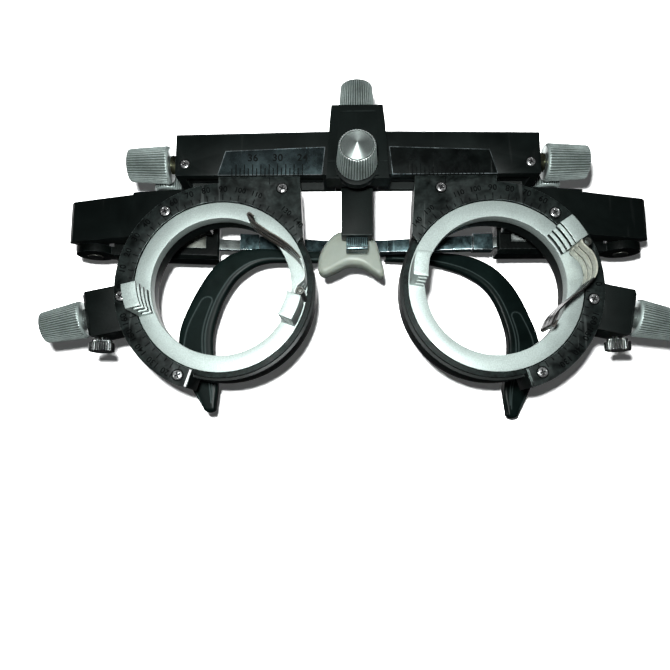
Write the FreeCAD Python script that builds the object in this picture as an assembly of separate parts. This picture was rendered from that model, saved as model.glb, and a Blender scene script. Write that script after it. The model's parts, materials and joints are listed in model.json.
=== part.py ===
import FreeCAD, Part
import math
import os

# Universal optician's trial frame, millimetres.
# X to the right seen from the front, Y away from the viewer (the front faces -Y), Z up.
# Shapes are drawn from a layout point midway between the two lens axes, on the front face of
# the lens cells. Saving moves them so that the origin is the centre of the frame's bounding box.
# Parts ending in _R have positive X, parts ending in _L negative X.
# Unless noted, both are drawn on the right; carriage parts start with the lens axis at X = 0.

V = FreeCAD.Vector
RIGHT, BACK, UP = V(1, 0, 0), V(0, 1, 0), V(0, 0, 1)
os.makedirs("parts", exist_ok=True)

# ---- driving dimensions ----
LAYOUT_Y, LAYOUT_Z = -14.274, -12.8     # move from the layout point to the bounding box centre
HALF_PD = 32.4                          # rest distance of each lens axis from the middle
RUN = 0.06                              # radial running clearance

# bridge bar
BAR_HALF = 44.0
BAR_FRONT, BAR_BACK = -1.0, 10.4
BAR_BOTTOM, BAR_END_TOP, BAR_MID_TOP = 27.0, 36.4, 38.2
PIER_HALF = 8.3                         # solid pier in the middle of the bar
CAVITY_END = 41.9                       # inner face of the bar's end walls
RAIL_Y, RAIL_Z = (3.7, 6.7), (28.2, 30.6)
BRIDGE_SCREW_X, BRIDGE_SCREW_Z = 41.6, 29.8
PD_PLATE_FRONT, PD_PLATE_BACK = -1.15, -0.7
PD_PLATE = [(7.8, 33.9), (31.8, 33.0), (33.6, 26.95), (8.5, 26.95)]     # x, z

# lead screw
LEAD_SCREW = V(0, 5.2, 32.3)            # axis, along X
SCREW_R, NUT_R = 1.2, 1.6
NUT_SPAN = (-9.0, -4.0)                 # from the lens axis

# nose rest
WELL_Y = (-0.2, 12.6)                   # well for the nose carrier
CARRIER_HALF, CARRIER_GAP = 5.3, 0.08
DEPTH_LEAN = math.radians(7.5)          # the depth knob leans up towards the front
DEPTH_AXIS = V(0, -math.cos(DEPTH_LEAN), math.sin(DEPTH_LEAN))
DEPTH_BASE = V(-0.2, -7.0, 26.6)
DEPTH_SHAFT_R = 1.5
HEIGHT_AXIS = V(0, 6.0, 0)              # height screw, along Z
HEIGHT_SCREW_R = 1.3
PAD_FRONT, PAD_DEPTH = 12.4, 5.8
TENON = (-2.0, 2.0, 12.0, 16.4)         # x and z limits of the pad holder's tenon
TENON_BACK = 12.6

# lens cell
CELL_BORE_R, CELL_FACE_R, CELL_FLANGE_R, SPIGOT_R = 16.65, 20.5, 21.7, 19.5
FACE_BACK, FLANGE_BACK, CELL_LEN = 1.0, 1.9, 3.4
CROWN_TEETH = 90                        # teeth on the back of the flange
LENS_R = 19.0                           # 38 mm trial lens
POST_R_IN, POST_R_OUT = 17.0, 20.3
SLOT_Y = (-2.6, -5.6, -8.6)             # middles of the lens slots
SLOT_HALF = 0.95

# leaf spring: distances from the lens axis at even steps from root to tip
SPRING_R = (19.95, 20.5, 20.4, 19.75, 18.5, 17.1, 15.9, 15.1, 14.7, 14.7, 15.15)
SPRING_SWEEP, SPRING_ROOT = 70.0, 1.0   # degrees; the root is measured from the barrel
FINGER_Y = ((-3.4, -1.7), (-6.4, -4.7), (-9.4, -7.7))
FINGER_HALF_THICK = 0.17
BARREL_DEG, BARREL_AT_R = 11.6, 19.75   # barrel from its post, and from the lens axis
BARREL_R, SPRING_PIN_R = 0.95, 0.45

# lens housing and axis scale plate
SCALE_R_IN, SCALE_R_OUT = 20.8, 25.3
SCALE_DEG = (-73.0, 96.0)
SCALE_FRONT, SCALE_BACK = -0.2, 0.8
HOUSING_R, HOUSING_BACK, REAR_BORE_R = 22.3, 10.7, 17.7
FLANGE_POCKET_BACK = 2.9
# x, z outlines of the parts that reach up to the bar
SCALE_TOP = [(1.2, 26.9), (-18.5, 26.9), (-19.4, 12.5), (-18.1, 10.4), (0.0, 10.4)]
HOUSING_TOP = [(1.2, 26.6), (-18.3, 26.6), (-19.2, 12.6), (-18.1, 10.4), (0.0, 10.4)]
PLATE_HOLE_R = 0.75
# x, z, screw depth; x is measured outward. The last screw ends short of the pinion.
PLATE_HOLES = {
    "R": [(14.6, 17.4, 3.0), (-12.3, 23.9, 3.0), (9.8, -20.7, 3.0), (22.5, -3.6, 1.5)],
    "L": [(13.8, 18.3, 3.0), (-14.3, 23.9, 3.0), (9.4, -21.2, 3.0), (23.6, -2.5, 1.5)],
}

# axis drive
DRIVE_DEG = -11.8                       # drive direction, below horizontal
DRIVE_DIR = V(math.cos(math.radians(DRIVE_DEG)), 0, math.sin(math.radians(DRIVE_DEG)))
DRIVE_BASE = V(0, 5.1, 0)               # drive axis abreast of the lens axis
DRIVE_SHAFT_R = 1.2
PINION_TEETH = 12
PINION_TIP_R, PINION_ROOT_R = 3.05, 2.35
PINION_START, PINION_END = 19.95, 21.5
BLOCK_END = 33.0
LOCK_AXIS = V(61.8 - HALF_PD, DRIVE_BASE.y, 0)      # lock screw, along Z
LOCK_R = 1.15

# temples
TILT_AXIS = V(0, 15.4, 22.4)            # along X
TILT_PIN_R = 2.0
TILT_KNOB_AXIS = V(49.8, 14.6, 0)       # along Z
TILT_SCREW_R = 1.2
HINGE_X, HINGE_Y = 72.0, 24.0
HINGE = V(HINGE_X, HINGE_Y, 0)          # fold axis, along Z
HINGE_PIN_R = 1.2
ARM_Y = HINGE_Y - 0.2                   # middle of the temple arm
BOX_FRONT, BOX_BACK = HINGE_Y - 2.2, HINGE_Y + 4.8
BOX_BOTTOM, BOX_TOP = 14.0, 24.0
BOX_TIP_X, BOX_ROOT_X = HINGE_X - 33.7, HINGE_X - 5.2
INSERT_X = (HINGE_X - 30.0, HINGE_X - 10.0)
FOLD_REST_L = 9.0                       # the left temple rests this many degrees short of folded
PULL_L = 4.6                            # the left temple is pulled out by this much

# x, z outline of the saddle pad
PAD_OUTLINE = [
    (-1.4, 17.4), (-4.9, 17.2), (-7.4, 15.1), (-9.3, 12.0), (-10.1, 8.6), (-9.7, 6.5),
    (-8.1, 5.9), (-5.1, 7.1), (-2.5, 8.4), (0.3, 8.4), (2.6, 7.6), (4.8, 6.1),
    (6.4, 5.3), (7.1, 6.4), (6.4, 9.5), (5.5, 13.2), (4.2, 15.8), (1.6, 17.2)]

# ear hooks: outer edge, then inner edge; distance from the fold axis, z
HOOK_R = (
    [(76.0, 14.9), (84.0, 14.8), (92.0, 15.3), (99.0, 15.6), (105.6, 14.4), (110.2, 11.2),
     (113.5, 6.9), (116.9, 0.5), (119.6, -7.0), (119.4, -15.0), (116.4, -21.6), (112.6, -27.8)],
    [(76.0, 12.0), (84.0, 11.9), (90.8, 12.0), (96.0, 11.9), (100.0, 10.7), (104.1, 7.7),
     (106.6, 4.2), (108.6, 0.0), (110.4, -7.0), (110.2, -14.0), (108.9, -21.0), (109.4, -27.6)])
HOOK_L = (
    [(81.5, 18.9), (90.0, 18.9), (98.0, 18.7), (105.7, 18.1), (112.4, 16.0), (117.6, 12.2),
     (121.6, 7.2), (125.1, 0.2), (127.6, -7.0), (127.4, -14.6), (124.2, -21.7), (120.2, -28.9)],
    [(81.5, 15.7), (88.0, 15.6), (94.0, 15.3), (99.8, 14.2), (105.5, 12.4), (110.8, 9.3),
     (114.3, 5.0), (116.7, -0.6), (118.1, -7.0), (117.6, -14.6), (116.2, -21.6), (117.0, -28.6)])


# ---- helpers ----
def rod(origin, direction, start, end, radius, end_radius=None):
    """Cylinder, or cone if end_radius is given, between two distances along an axis."""
    base = origin + direction * start
    if end_radius is None:
        return Part.makeCylinder(radius, end - start, base, direction)
    return Part.makeCone(radius, end_radius, end - start, base, direction)


def disc(radius, y0, y1, x=0.0, z=0.0):
    return rod(V(x, 0, z), BACK, y0, y1, radius)


def drive_rod(start, end, radius, end_radius=None):
    return rod(DRIVE_BASE, DRIVE_DIR, start, end, radius, end_radius)


def box(x0, x1, y0, y1, z0, z1):
    return Part.makeBox(x1 - x0, y1 - y0, z1 - z0, V(x0, y0, z0))


def prism(points, direction):
    """Polygon of vectors, extruded."""
    return Part.Face(Part.makePolygon(points + [points[0]])).extrude(direction)


def prism_xz(points, y0, y1):
    return prism([V(x, y0, z) for x, z in points], V(0, y1 - y0, 0))


def frustum(*sections):
    """Loft through level rectangles: half width, front y, back y, z."""
    wires = []
    for half, y0, y1, z in sections:
        corners = [V(-half, y0, z), V(half, y0, z), V(half, y1, z), V(-half, y1, z)]
        wires.append(Part.makePolygon(corners + [corners[0]]))
    return Part.makeLoft(wires, True)


def strip(edge_a, edge_b):
    """Flat face between two splines, closed by straight ends."""
    curves = []
    for points in (edge_a, edge_b):
        curve = Part.BSplineCurve()
        curve.interpolate(points)
        curves.append(curve.toShape())
    tip = Part.makeLine(edge_a[-1], edge_b[-1])
    root = Part.makeLine(edge_b[0], edge_a[0])
    return Part.Face(Part.Wire([curves[0], tip, curves[1], root]))


def polar(radius, degrees):
    angle = math.radians(degrees)
    return radius * math.cos(angle), radius * math.sin(angle)


def sector(radius, start_deg, end_deg, y0, y1):
    """Pie slice: a wider polygon fan trimmed by a disc."""
    steps = 14
    fan = [polar(radius * 1.6, start_deg + (end_deg - start_deg) * i / steps)
           for i in range(steps + 1)]
    return prism_xz([(0.0, 0.0)] + fan, y0, y1).common(disc(radius, y0, y1))


def mirrored(shape):
    return shape.mirror(V(0, 0, 0), RIGHT)


def shifted(shape, x=0.0, y=0.0, z=0.0):
    shape = shape.copy()
    shape.translate(V(x, y, z))
    return shape


def turned(shape, degrees):
    """Turn about the Y axis, counter-clockwise seen from the front."""
    shape = shape.copy()
    shape.rotate(V(0, 0, 0), BACK, -degrees)
    return shape


def fuse(first, *others):
    return first.multiFuse(list(others)).removeSplitter()


def chamfer(shape, pick, size):
    edges = [edge for edge in shape.Edges if pick(edge)]
    # guards against a chamfer the kernel cannot build: the edges then stay sharp
    try:
        return shape.makeChamfer(size, edges) if edges else shape
    except Exception:
        return shape


def near(value, target):
    return abs(value - target) < 1e-6


def save(name, shape):
    if len(shape.Solids) == 1:
        shape = shape.Solids[0]
    shifted(shape, y=LAYOUT_Y, z=LAYOUT_Z).exportStep("parts/%s.step" % name)


def save_pair(name, shape):
    save(name + "_R", shape)
    save(name + "_L", mirrored(shape))


def cross_screw(x, z, y, head_r, shank_r, shank_len):
    """Screw with a cross-slotted head that stands in front of y."""
    head_front = y - 0.5
    slot_front, slot_back = head_front - 0.1, head_front + 0.25
    long_half, short_half = head_r * 0.7, 0.18
    screw = fuse(disc(head_r, head_front, y, x, z), disc(shank_r, y - 0.1, y + shank_len, x, z))
    for half_x, half_z in ((long_half, short_half), (short_half, long_half)):
        screw = screw.cut(box(x - half_x, x + half_x, slot_front, slot_back,
                              z - half_z, z + half_z))
    return screw


# ---- bridge ----
def nose_block_body():
    """Centre block in front of and over the bar, without the depth knob's bore."""
    front = frustum((7.3, -6.2, BAR_FRONT, 23.9), (6.6, -5.0, BAR_FRONT, BAR_MID_TOP))
    cap = frustum((6.6, -5.0, 14.0, BAR_MID_TOP), (6.2, -3.6, 13.6, 43.5))
    panel = frustum((4.9, -7.0, -4.0, 24.4), (4.3, -6.2, -3.2, 40.6))
    boss = disc(4.95, -7.0, -4.6, DEPTH_BASE.x, 26.9)      # behind the depth knob
    body = fuse(front, cap, panel, boss)
    half = CARRIER_HALF + CARRIER_GAP
    body = body.cut(box(-half, half, *WELL_Y, 22.0, 42.2))
    # slot for the neck of the height screw
    return body.cut(box(-2.6, 2.6, 0.2, 10.8, 41.0, 46.0))


def bridge_housing(block_body):
    """Box section, open below, with a solid pier in the middle."""
    outline = [(-BAR_HALF, BAR_BOTTOM), (-BAR_HALF, BAR_END_TOP), (-10.0, BAR_MID_TOP),
               (10.0, BAR_MID_TOP), (BAR_HALF, BAR_END_TOP), (BAR_HALF, BAR_BOTTOM)]
    bar = prism_xz(outline, BAR_FRONT, BAR_BACK)
    bar = chamfer(bar, lambda edge: near(edge.CenterOfMass.y, BAR_FRONT)
                  and edge.CenterOfMass.z > 36, 0.5)
    for side in (-1, 1):
        x0, x1 = sorted((side * PIER_HALF, side * CAVITY_END))
        bar = bar.cut(box(x0, x1, 1.5, 8.8, 26.0, 35.0))
        # lead screw bearings in the end wall and the pier
        bar = bar.cut(rod(LEAD_SCREW, V(side, 0, 0), 6.5, 60.0, SCREW_R + RUN))
    bar = fuse(bar, box(-PIER_HALF, PIER_HALF, BAR_BACK, 14.0, 28.4, 38.0))
    half = CARRIER_HALF + CARRIER_GAP
    bar = bar.cut(box(-half, half, *WELL_Y, 26.0, 45.0))
    for side in (-1, 1):
        recess = [(side * x, z) for x, z in PD_PLATE]
        bar = bar.cut(prism_xz(recess, -1.2, PD_PLATE_BACK))
    for side in (-1, 1):
        bar = bar.cut(disc(0.75, -1.2, 1.2, side * BRIDGE_SCREW_X, BRIDGE_SCREW_Z))
    return bar.cut(block_body)


def nose_block(block_body):
    bore = rod(DEPTH_BASE, DEPTH_AXIS, -20.0, 10.0, DEPTH_SHAFT_R + RUN)
    return block_body.cut(bore.common(box(-9, 9, -30, -0.9, 0, 60)))


def nose_depth_knob():
    return fuse(rod(DEPTH_BASE, DEPTH_AXIS, -4.6, 0.8, DEPTH_SHAFT_R),
                rod(DEPTH_BASE, DEPTH_AXIS, 0.45, 1.15, 2.6),
                rod(DEPTH_BASE, DEPTH_AXIS, 1.1, 8.7, 4.7, 4.15),
                rod(DEPTH_BASE, DEPTH_AXIS, 8.7, 10.0, 4.15, 0.6))


def guide_rail():
    return box(PIER_HALF + 0.05, CAVITY_END - 0.05, *RAIL_Y, *RAIL_Z)


def bridge_screws():
    return Part.makeCompound([
        cross_screw(side * BRIDGE_SCREW_X, BRIDGE_SCREW_Z, BAR_FRONT,
                    head_r=1.05, shank_r=0.7, shank_len=1.6)
        for side in (-1, 1)])


block_body = nose_block_body()
save("bridge_housing", bridge_housing(block_body))
save("nose_block", nose_block(block_body))
save("nose_depth_knob", nose_depth_knob())
save_pair("guide_rail", guide_rail())
save_pair("pd_scale_plate", prism_xz(PD_PLATE, PD_PLATE_FRONT, PD_PLATE_BACK))
save("bridge_screws", bridge_screws())


# ---- carriage ----
def axis_scale_plate(holes):
    plate = fuse(sector(SCALE_R_OUT, *SCALE_DEG, SCALE_FRONT, SCALE_BACK),
                 prism_xz(SCALE_TOP, SCALE_FRONT, SCALE_BACK))
    plate = plate.cut(disc(SCALE_R_IN, -1, 2))
    for x, z, _ in holes:
        plate = plate.cut(disc(PLATE_HOLE_R, -1, 2, x, z))
    return plate


def lens_housing(holes):
    housing = fuse(sector(SCALE_R_OUT - 0.1, *SCALE_DEG, SCALE_BACK, HOUSING_BACK),
                   prism_xz(HOUSING_TOP, SCALE_BACK, HOUSING_BACK),
                   disc(HOUSING_R, FLANGE_POCKET_BACK, HOUSING_BACK))
    # lug that runs on the guide rail inside the bar
    housing = fuse(housing, box(-15.3, 1.3, 2.0, 8.3, 24.0, 34.6))
    # stepped seat of the lens cell, then the wider rear opening
    housing = housing.cut(disc(CELL_FLANGE_R + 0.15, 0, FLANGE_POCKET_BACK))
    housing = housing.cut(disc(SPIGOT_R + 0.08, 0, 3.5))
    housing = housing.cut(disc(CELL_BORE_R + 0.15, 0, 12))
    housing = housing.cut(disc(REAR_BORE_R, CELL_LEN, 12))
    housing = housing.cut(box(-20, 5, RAIL_Y[0] - RUN, RAIL_Y[1] + RUN,
                              RAIL_Z[0] - RUN, RAIL_Z[1] + RUN))
    housing = housing.cut(rod(LEAD_SCREW, RIGHT, -20, 20, SCREW_R + RUN))
    housing = housing.cut(rod(LEAD_SCREW, RIGHT, *NUT_SPAN, NUT_R))
    housing = housing.cut(drive_rod(19.75, 30.0, 3.35))
    for x, z, depth in holes:
        housing = housing.cut(disc(PLATE_HOLE_R, 0.5, depth + 0.1, x, z))
    return housing


def plate_screws(holes):
    return Part.makeCompound([
        cross_screw(x, z, SCALE_FRONT, head_r=1.15, shank_r=PLATE_HOLE_R, shank_len=depth)
        for x, z, depth in holes])


def axis_block():
    """Bearing block of the axis drive, outside the housing rim."""
    block = box(23.0, BLOCK_END, 0.7, 9.5, -5.5, 5.5)
    block = chamfer(block, lambda edge: near(edge.CenterOfMass.x, BLOCK_END)
                    and edge.Length > 8, 0.8)
    block = turned(block, DRIVE_DEG)
    block = block.cut(disc(25.4, -5, 20)).cut(drive_rod(20, 40, DRIVE_SHAFT_R + RUN))
    block = block.cut(rod(LOCK_AXIS, UP, -12.5, -8.1, LOCK_R))
    # level top
    return block.cut(box(24, 40, -5, 20, 0.75, 20))


def axis_pinion_shaft():
    """Pinion with narrow tapered teeth, shaft and collar."""
    # y, z of one tooth, pointing down before it is turned
    profile = [(-0.34, -2.0), (0.34, -2.0), (0.19, -PINION_TIP_R), (-0.19, -PINION_TIP_R)]
    pinion = drive_rod(PINION_START, PINION_END, PINION_ROOT_R)
    for i in range(PINION_TEETH):
        tooth = prism([V(PINION_START, y, z) for y, z in profile],
                      V(PINION_END - PINION_START, 0, 0))
        # at rest one tooth points to the front, straight at the flange
        tooth.rotate(V(0, 0, 0), RIGHT, -90.0 + 360.0 * i / PINION_TEETH)
        tooth.translate(DRIVE_BASE)
        pinion = pinion.fuse(turned(tooth, DRIVE_DEG))
    pinion = pinion.common(drive_rod(PINION_START, PINION_END, PINION_TIP_R))
    return fuse(pinion, drive_rod(21.4, 43.0, DRIVE_SHAFT_R), drive_rod(33.1, 34.3, 2.5))


def axis_knob():
    knob = fuse(drive_rod(34.4, 44.6, 4.6, 3.8), drive_rod(44.6, 45.4, 3.8, 1.0))
    return knob.cut(drive_rod(30, 43.0, DRIVE_SHAFT_R))


def lock_screw():
    return fuse(rod(LOCK_AXIS, UP, -12.4, -8.2, LOCK_R),
                rod(LOCK_AXIS, UP, -12.8, -12.3, 2.45),
                rod(LOCK_AXIS, UP, -15.1, -12.7, 3.0))


def pd_nut():
    nut = rod(LEAD_SCREW, RIGHT, *NUT_SPAN, NUT_R)
    return nut.cut(rod(LEAD_SCREW, RIGHT, -20, 20, SCREW_R + RUN))


def pd_lead_screw():
    return fuse(rod(LEAD_SCREW, RIGHT, 6.6, 43.4, SCREW_R),
                rod(LEAD_SCREW, RIGHT, BAR_HALF + 0.1, BAR_HALF + 1.3, 1.6),
                rod(LEAD_SCREW, RIGHT, 43.3, 56.3, SCREW_R),
                rod(LEAD_SCREW, RIGHT, 45.0, 46.5, 2.3))


def pd_knob():
    knob = fuse(rod(LEAD_SCREW, RIGHT, 46.6, 57.0, 4.7, 4.1),
                rod(LEAD_SCREW, RIGHT, 57.0, 58.0, 4.1, 1.0))
    return knob.cut(rod(LEAD_SCREW, RIGHT, 46.3, 56.3, SCREW_R))


for side, holes in PLATE_HOLES.items():
    for name, make in (("lens_housing_", lens_housing), ("axis_scale_plate_", axis_scale_plate),
                       ("plate_screws_", plate_screws)):
        part = shifted(make(holes), HALF_PD)
        save(name + side, part if side == "R" else mirrored(part))
for make in (axis_block, pd_nut, axis_pinion_shaft, axis_knob, lock_screw):
    save_pair(make.__name__, shifted(make(), HALF_PD))
save_pair("pd_lead_screw", pd_lead_screw())
save_pair("pd_knob", pd_knob())


# ---- rotating lens cell ----
def lens_cell():
    """Front annulus, toothed flange and guide spigot."""
    cell = fuse(disc(CELL_FACE_R, 0.0, FACE_BACK),
                disc(CELL_FLANGE_R, FACE_BACK, FLANGE_BACK),
                disc(SPIGOT_R, FLANGE_BACK, CELL_LEN))
    tooth = box(SPIGOT_R - 0.05, CELL_FLANGE_R - 0.05, FLANGE_BACK - 0.05, 2.45, -0.25, 0.25)
    # at rest the drive direction falls in a gap between two teeth
    teeth = [turned(tooth, DRIVE_DEG + (i + 0.5) * 360.0 / CROWN_TEETH)
             for i in range(CROWN_TEETH)]
    return cell.multiFuse(teeth).cut(disc(CELL_BORE_R, -1, 5))


def lens_post(degrees):
    """Curved block with three lens slots."""
    post = box(16.3, 21.0, -10.2, 0.0, -2.85, 2.85)
    post = post.common(disc(POST_R_OUT, -12, 2)).cut(disc(POST_R_IN, -12, 2))
    for y in SLOT_Y:
        post = post.cut(disc(LENS_R + 0.15, y - SLOT_HALF, y + SLOT_HALF))
    return turned(post, degrees)


def lens_spring(barrel_deg, turn):
    """Barrel with three curved fingers; turn is +1 counter-clockwise, -1 clockwise."""
    last = len(SPRING_R) - 1
    middle = [polar(radius, barrel_deg + turn * (SPRING_ROOT + SPRING_SWEEP * i / last))
              for i, radius in enumerate(SPRING_R)]
    edge_a, edge_b = [], []
    for i, (x, z) in enumerate(middle):
        before, after = middle[max(0, i - 1)], middle[min(last, i + 1)]
        run_x, run_z = after[0] - before[0], after[1] - before[1]
        scale = FINGER_HALF_THICK / math.hypot(run_x, run_z)
        off_x, off_z = -run_z * scale, run_x * scale
        edge_a.append(V(x + off_x, 0, z + off_z))
        edge_b.append(V(x - off_x, 0, z - off_z))
    face = strip(edge_a, edge_b)
    x, z = polar(BARREL_AT_R, barrel_deg)
    spring = disc(BARREL_R, -9.6, -0.2, x, z)
    for y0, y1 in FINGER_Y:
        spring = spring.fuse(shifted(face, y=y0).extrude(V(0, y1 - y0, 0)))
    return spring.cut(disc(SPRING_PIN_R + RUN, -12, 1, x, z))


# side, lens axis x, angles of posts a and b, turn of the spring away from post a
for side, axis_x, post_a, post_b, turn in (("R", HALF_PD, 33.8, 172.0, -1),
                                           ("L", -HALF_PD, 338.6, 193.6, 1)):
    cell = lens_cell() if side == "R" else mirrored(lens_cell())
    barrel_deg = post_a + turn * BARREL_DEG
    spring_pin = disc(SPRING_PIN_R, -9.9, 0.0, *polar(BARREL_AT_R, barrel_deg))
    save("lens_cell_ring_" + side, fuse(shifted(cell, axis_x), shifted(spring_pin, axis_x)))
    save("lens_post_a_" + side, shifted(lens_post(post_a), axis_x))
    save("lens_post_b_" + side, shifted(lens_post(post_b), axis_x))
    save("lens_spring_" + side, shifted(lens_spring(barrel_deg, turn), axis_x))


# ---- nose rest ----
def nose_carrier():
    carrier = box(-CARRIER_HALF, CARRIER_HALF, 2.5, 9.9, 27.6, 42.0)
    carrier = carrier.cut(box(-3.95, 3.95, 3.95, 8.05, 27.0, 40.2))
    return carrier.cut(rod(HEIGHT_AXIS, UP, 38, 44, HEIGHT_SCREW_R + RUN))


def nose_bar():
    bar = box(-3.9, 3.9, 4.0, 8.0, 13.4, 36.0)
    return bar.cut(rod(HEIGHT_AXIS, UP, 15, 37, HEIGHT_SCREW_R + RUN))


def tenon(y0):
    x0, x1, z0, z1 = TENON
    return box(x0, x1, y0, TENON_BACK, z0, z1)


def pad_holder():
    holder = fuse(box(-2.7, 2.7, 8.0, 10.2, 12.6, 18.6),
                  box(-2.7, 2.7, 5.2, 8.0, 10.4, 13.4),
                  box(-2.7, 2.7, 8.0, 10.2, 10.4, 13.0))
    return fuse(holder, tenon(10.2))


def nose_height_knob():
    return fuse(rod(HEIGHT_AXIS, UP, 20.0, 44.0, HEIGHT_SCREW_R),
                rod(HEIGHT_AXIS, UP, 43.8, 44.4, 2.3),
                rod(HEIGHT_AXIS, UP, 44.3, 53.5, 4.65, 4.1),
                rod(HEIGHT_AXIS, UP, 53.5, 54.5, 4.1, 1.0))


def nose_pad():
    """Saddle pad: arch below, two rounded feet."""
    curve = Part.BSplineCurve()
    curve.interpolate([V(x, PAD_FRONT, z) for x, z in PAD_OUTLINE], True)
    pad = Part.Face(Part.Wire([curve.toShape()])).extrude(V(0, PAD_DEPTH, 0))
    return pad.cut(tenon(12.0))


for make in (nose_carrier, nose_bar, pad_holder, nose_height_knob, nose_pad):
    save(make.__name__, make())


# ---- temple mounts ----
def temple_bracket():
    """Bracket behind the bar with the tilt pivot pin."""
    return fuse(box(38.6, 45.3, 10.45, 15.0, 27.0, 36.0),
                box(38.6, 45.3, 11.4, 19.2, 18.4, 31.0),
                rod(TILT_AXIS, RIGHT, 45.0, 56.5, TILT_PIN_R))


def tilt_block():
    """Swept back, carries the lug of the fold hinge."""
    outer_x = 77.5
    plan = [(45.6, 11.5), (59.0, 13.6), (outer_x, 18.4), (outer_x, 20.6),
            (74.8, 23.0), (69.2, 23.0), (66.4, 20.2), (45.6, 20.2)]
    block = prism([V(x, y, 16.5) for x, y in plan], V(0, 0, 12.0))
    # sloping top of the outer part
    block = block.cut(prism_xz([(58.9, 27.9), (80.0, 27.5), (80.0, 30.0), (58.9, 30.0)], 0, 30))
    block = chamfer(block, lambda edge: near(edge.CenterOfMass.x, outer_x)
                    and edge.CenterOfMass.y < 19 and edge.Length > 5, 1.2)
    block = fuse(block, rod(HINGE, UP, 16.6, 24.0, 3.5),
                 box(69.4, 74.6, 20.0, 24.0, 16.6, 24.0))
    # room for the fork above and below the lug
    block = block.cut(box(66.0, 80.0, 20.35, 30.0, 24.0, 30.0))
    block = block.cut(box(66.0, 80.0, 20.35, 30.0, 10.0, 16.6))
    block = block.cut(rod(TILT_AXIS, RIGHT, 45.0, 56.6, TILT_PIN_R + RUN))
    block = block.cut(rod(HINGE, UP, 5, 45, HINGE_PIN_R))
    return block.cut(rod(TILT_KNOB_AXIS, UP, 25.2, 28.8, TILT_SCREW_R + RUN))


def tilt_knob():
    return fuse(rod(TILT_KNOB_AXIS, UP, 25.6, 29.2, TILT_SCREW_R),
                rod(TILT_KNOB_AXIS, UP, 28.8, 36.0, 3.5, 3.2),
                rod(TILT_KNOB_AXIS, UP, 36.0, 36.7, 3.2, 0.8))


def hinge_pin():
    return fuse(rod(HINGE, UP, 13.9, 26.6, HINGE_PIN_R),
                rod(HINGE, UP, 13.75, 14.15, 2.0),
                rod(HINGE, UP, 26.4, 26.9, 2.0))


for make in (temple_bracket, tilt_block, tilt_knob, hinge_pin):
    save_pair(make.__name__, make())


# ---- temples, drawn folded flat on the right ----
def temple_box(bar_z):
    """Fork around the lug, pocket for the insert, slot for the slide bar."""
    body = box(BOX_TIP_X, BOX_ROOT_X, BOX_FRONT, BOX_BACK, BOX_BOTTOM, BOX_TOP)
    body = chamfer(body, lambda edge: near(edge.CenterOfMass.x, BOX_TIP_X)
                   and edge.Length > 8, 0.6)
    body = chamfer(body, lambda edge: near(edge.CenterOfMass.y, BOX_FRONT)
                   and near(edge.CenterOfMass.z, BOX_BOTTOM) and edge.Length > 8, 1.0)
    fork_span = (HINGE_X - 8.0, HINGE_X, BOX_FRONT, HINGE_Y + 3.4)
    lower = fuse(rod(HINGE, UP, 14.2, 16.4, 5.0), box(*fork_span, 14.2, 16.4))
    upper = fuse(rod(HINGE, UP, 24.1, 26.3, 3.5), box(*fork_span, BOX_TOP, 26.3))
    # clearance of the upper cheek over the lug
    upper = upper.cut(box(BOX_ROOT_X, 80, 10, 30, 20, 24.1))
    body = fuse(body, lower, upper)
    body = body.cut(rod(HINGE, UP, 5, 45, HINGE_PIN_R + RUN))
    body = body.cut(box(*INSERT_X, BOX_FRONT - 1, BOX_FRONT + 0.55, 17.0, 22.6))
    return body.cut(box(HINGE_X - 40, HINGE_X - 8.5, ARM_Y - 0.85, ARM_Y + 0.85,
                        bar_z - 1.6, bar_z + 1.6))


def temple_insert():
    """Plate in the front face of the temple box, with a round stud."""
    plate = box(INSERT_X[0] + 0.05, INSERT_X[1] - 0.05, BOX_FRONT + 0.15, BOX_FRONT + 0.55,
                17.05, 22.55)
    stud = disc(1.35, BOX_FRONT - 0.2, BOX_FRONT + 0.15, INSERT_X[0] + 3.0, 20.2)
    return fuse(plate, stud)


def bar_section(x0, x1, bar_z):
    return box(x0, x1, ARM_Y - 0.8, ARM_Y + 0.8, bar_z - 1.55, bar_z + 1.55)


def sleeve(mouth_x, tip_x, bar_z, sleeve_z, drop):
    """Raised collar, then a flat tapering body that slopes down by drop."""
    collar_x = mouth_x - 5.5
    collar = box(collar_x, mouth_x, ARM_Y - 1.7, ARM_Y + 1.7, sleeve_z - 2.3, sleeve_z + 2.3)
    start_z = sleeve_z - 0.1
    tip_z = start_z - drop
    start_half, tip_half = 2.0, 1.6
    outline = [(collar_x + 0.5, start_z - start_half), (collar_x + 0.5, start_z + start_half),
               (tip_x, tip_z + tip_half), (tip_x, tip_z - tip_half)]
    body = fuse(collar, prism_xz(outline, ARM_Y - 1.35, ARM_Y + 1.35))
    return body.cut(bar_section(mouth_x - 1.0, mouth_x + 1, bar_z))


def ear_hook(edges):
    """Flat start inside the sleeve, then a downward curve."""
    outer, inner = [[V(HINGE_X - distance, ARM_Y - 1.75, z) for distance, z in edge]
                    for edge in edges]
    return strip(outer, inner).extrude(V(0, 3.5, 0))


def temple_parts(bar_z, sleeve_z, drop, pull, hook_edges):
    """All parts of one temple; pull is how far the slide bar is out."""
    mouth_x = HINGE_X - 34.8 - pull
    hook = ear_hook(hook_edges)
    body = sleeve(mouth_x, HINGE_X - 78.0 - pull, bar_z, sleeve_z, drop)
    return {
        "temple_box": temple_box(bar_z),
        "temple_insert": temple_insert(),
        "slide_bar": bar_section(mouth_x - 1.0, HINGE_X - 9.5 - pull, bar_z),
        "sleeve": body.cut(hook),
        "ear_hook": hook,
    }


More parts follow.
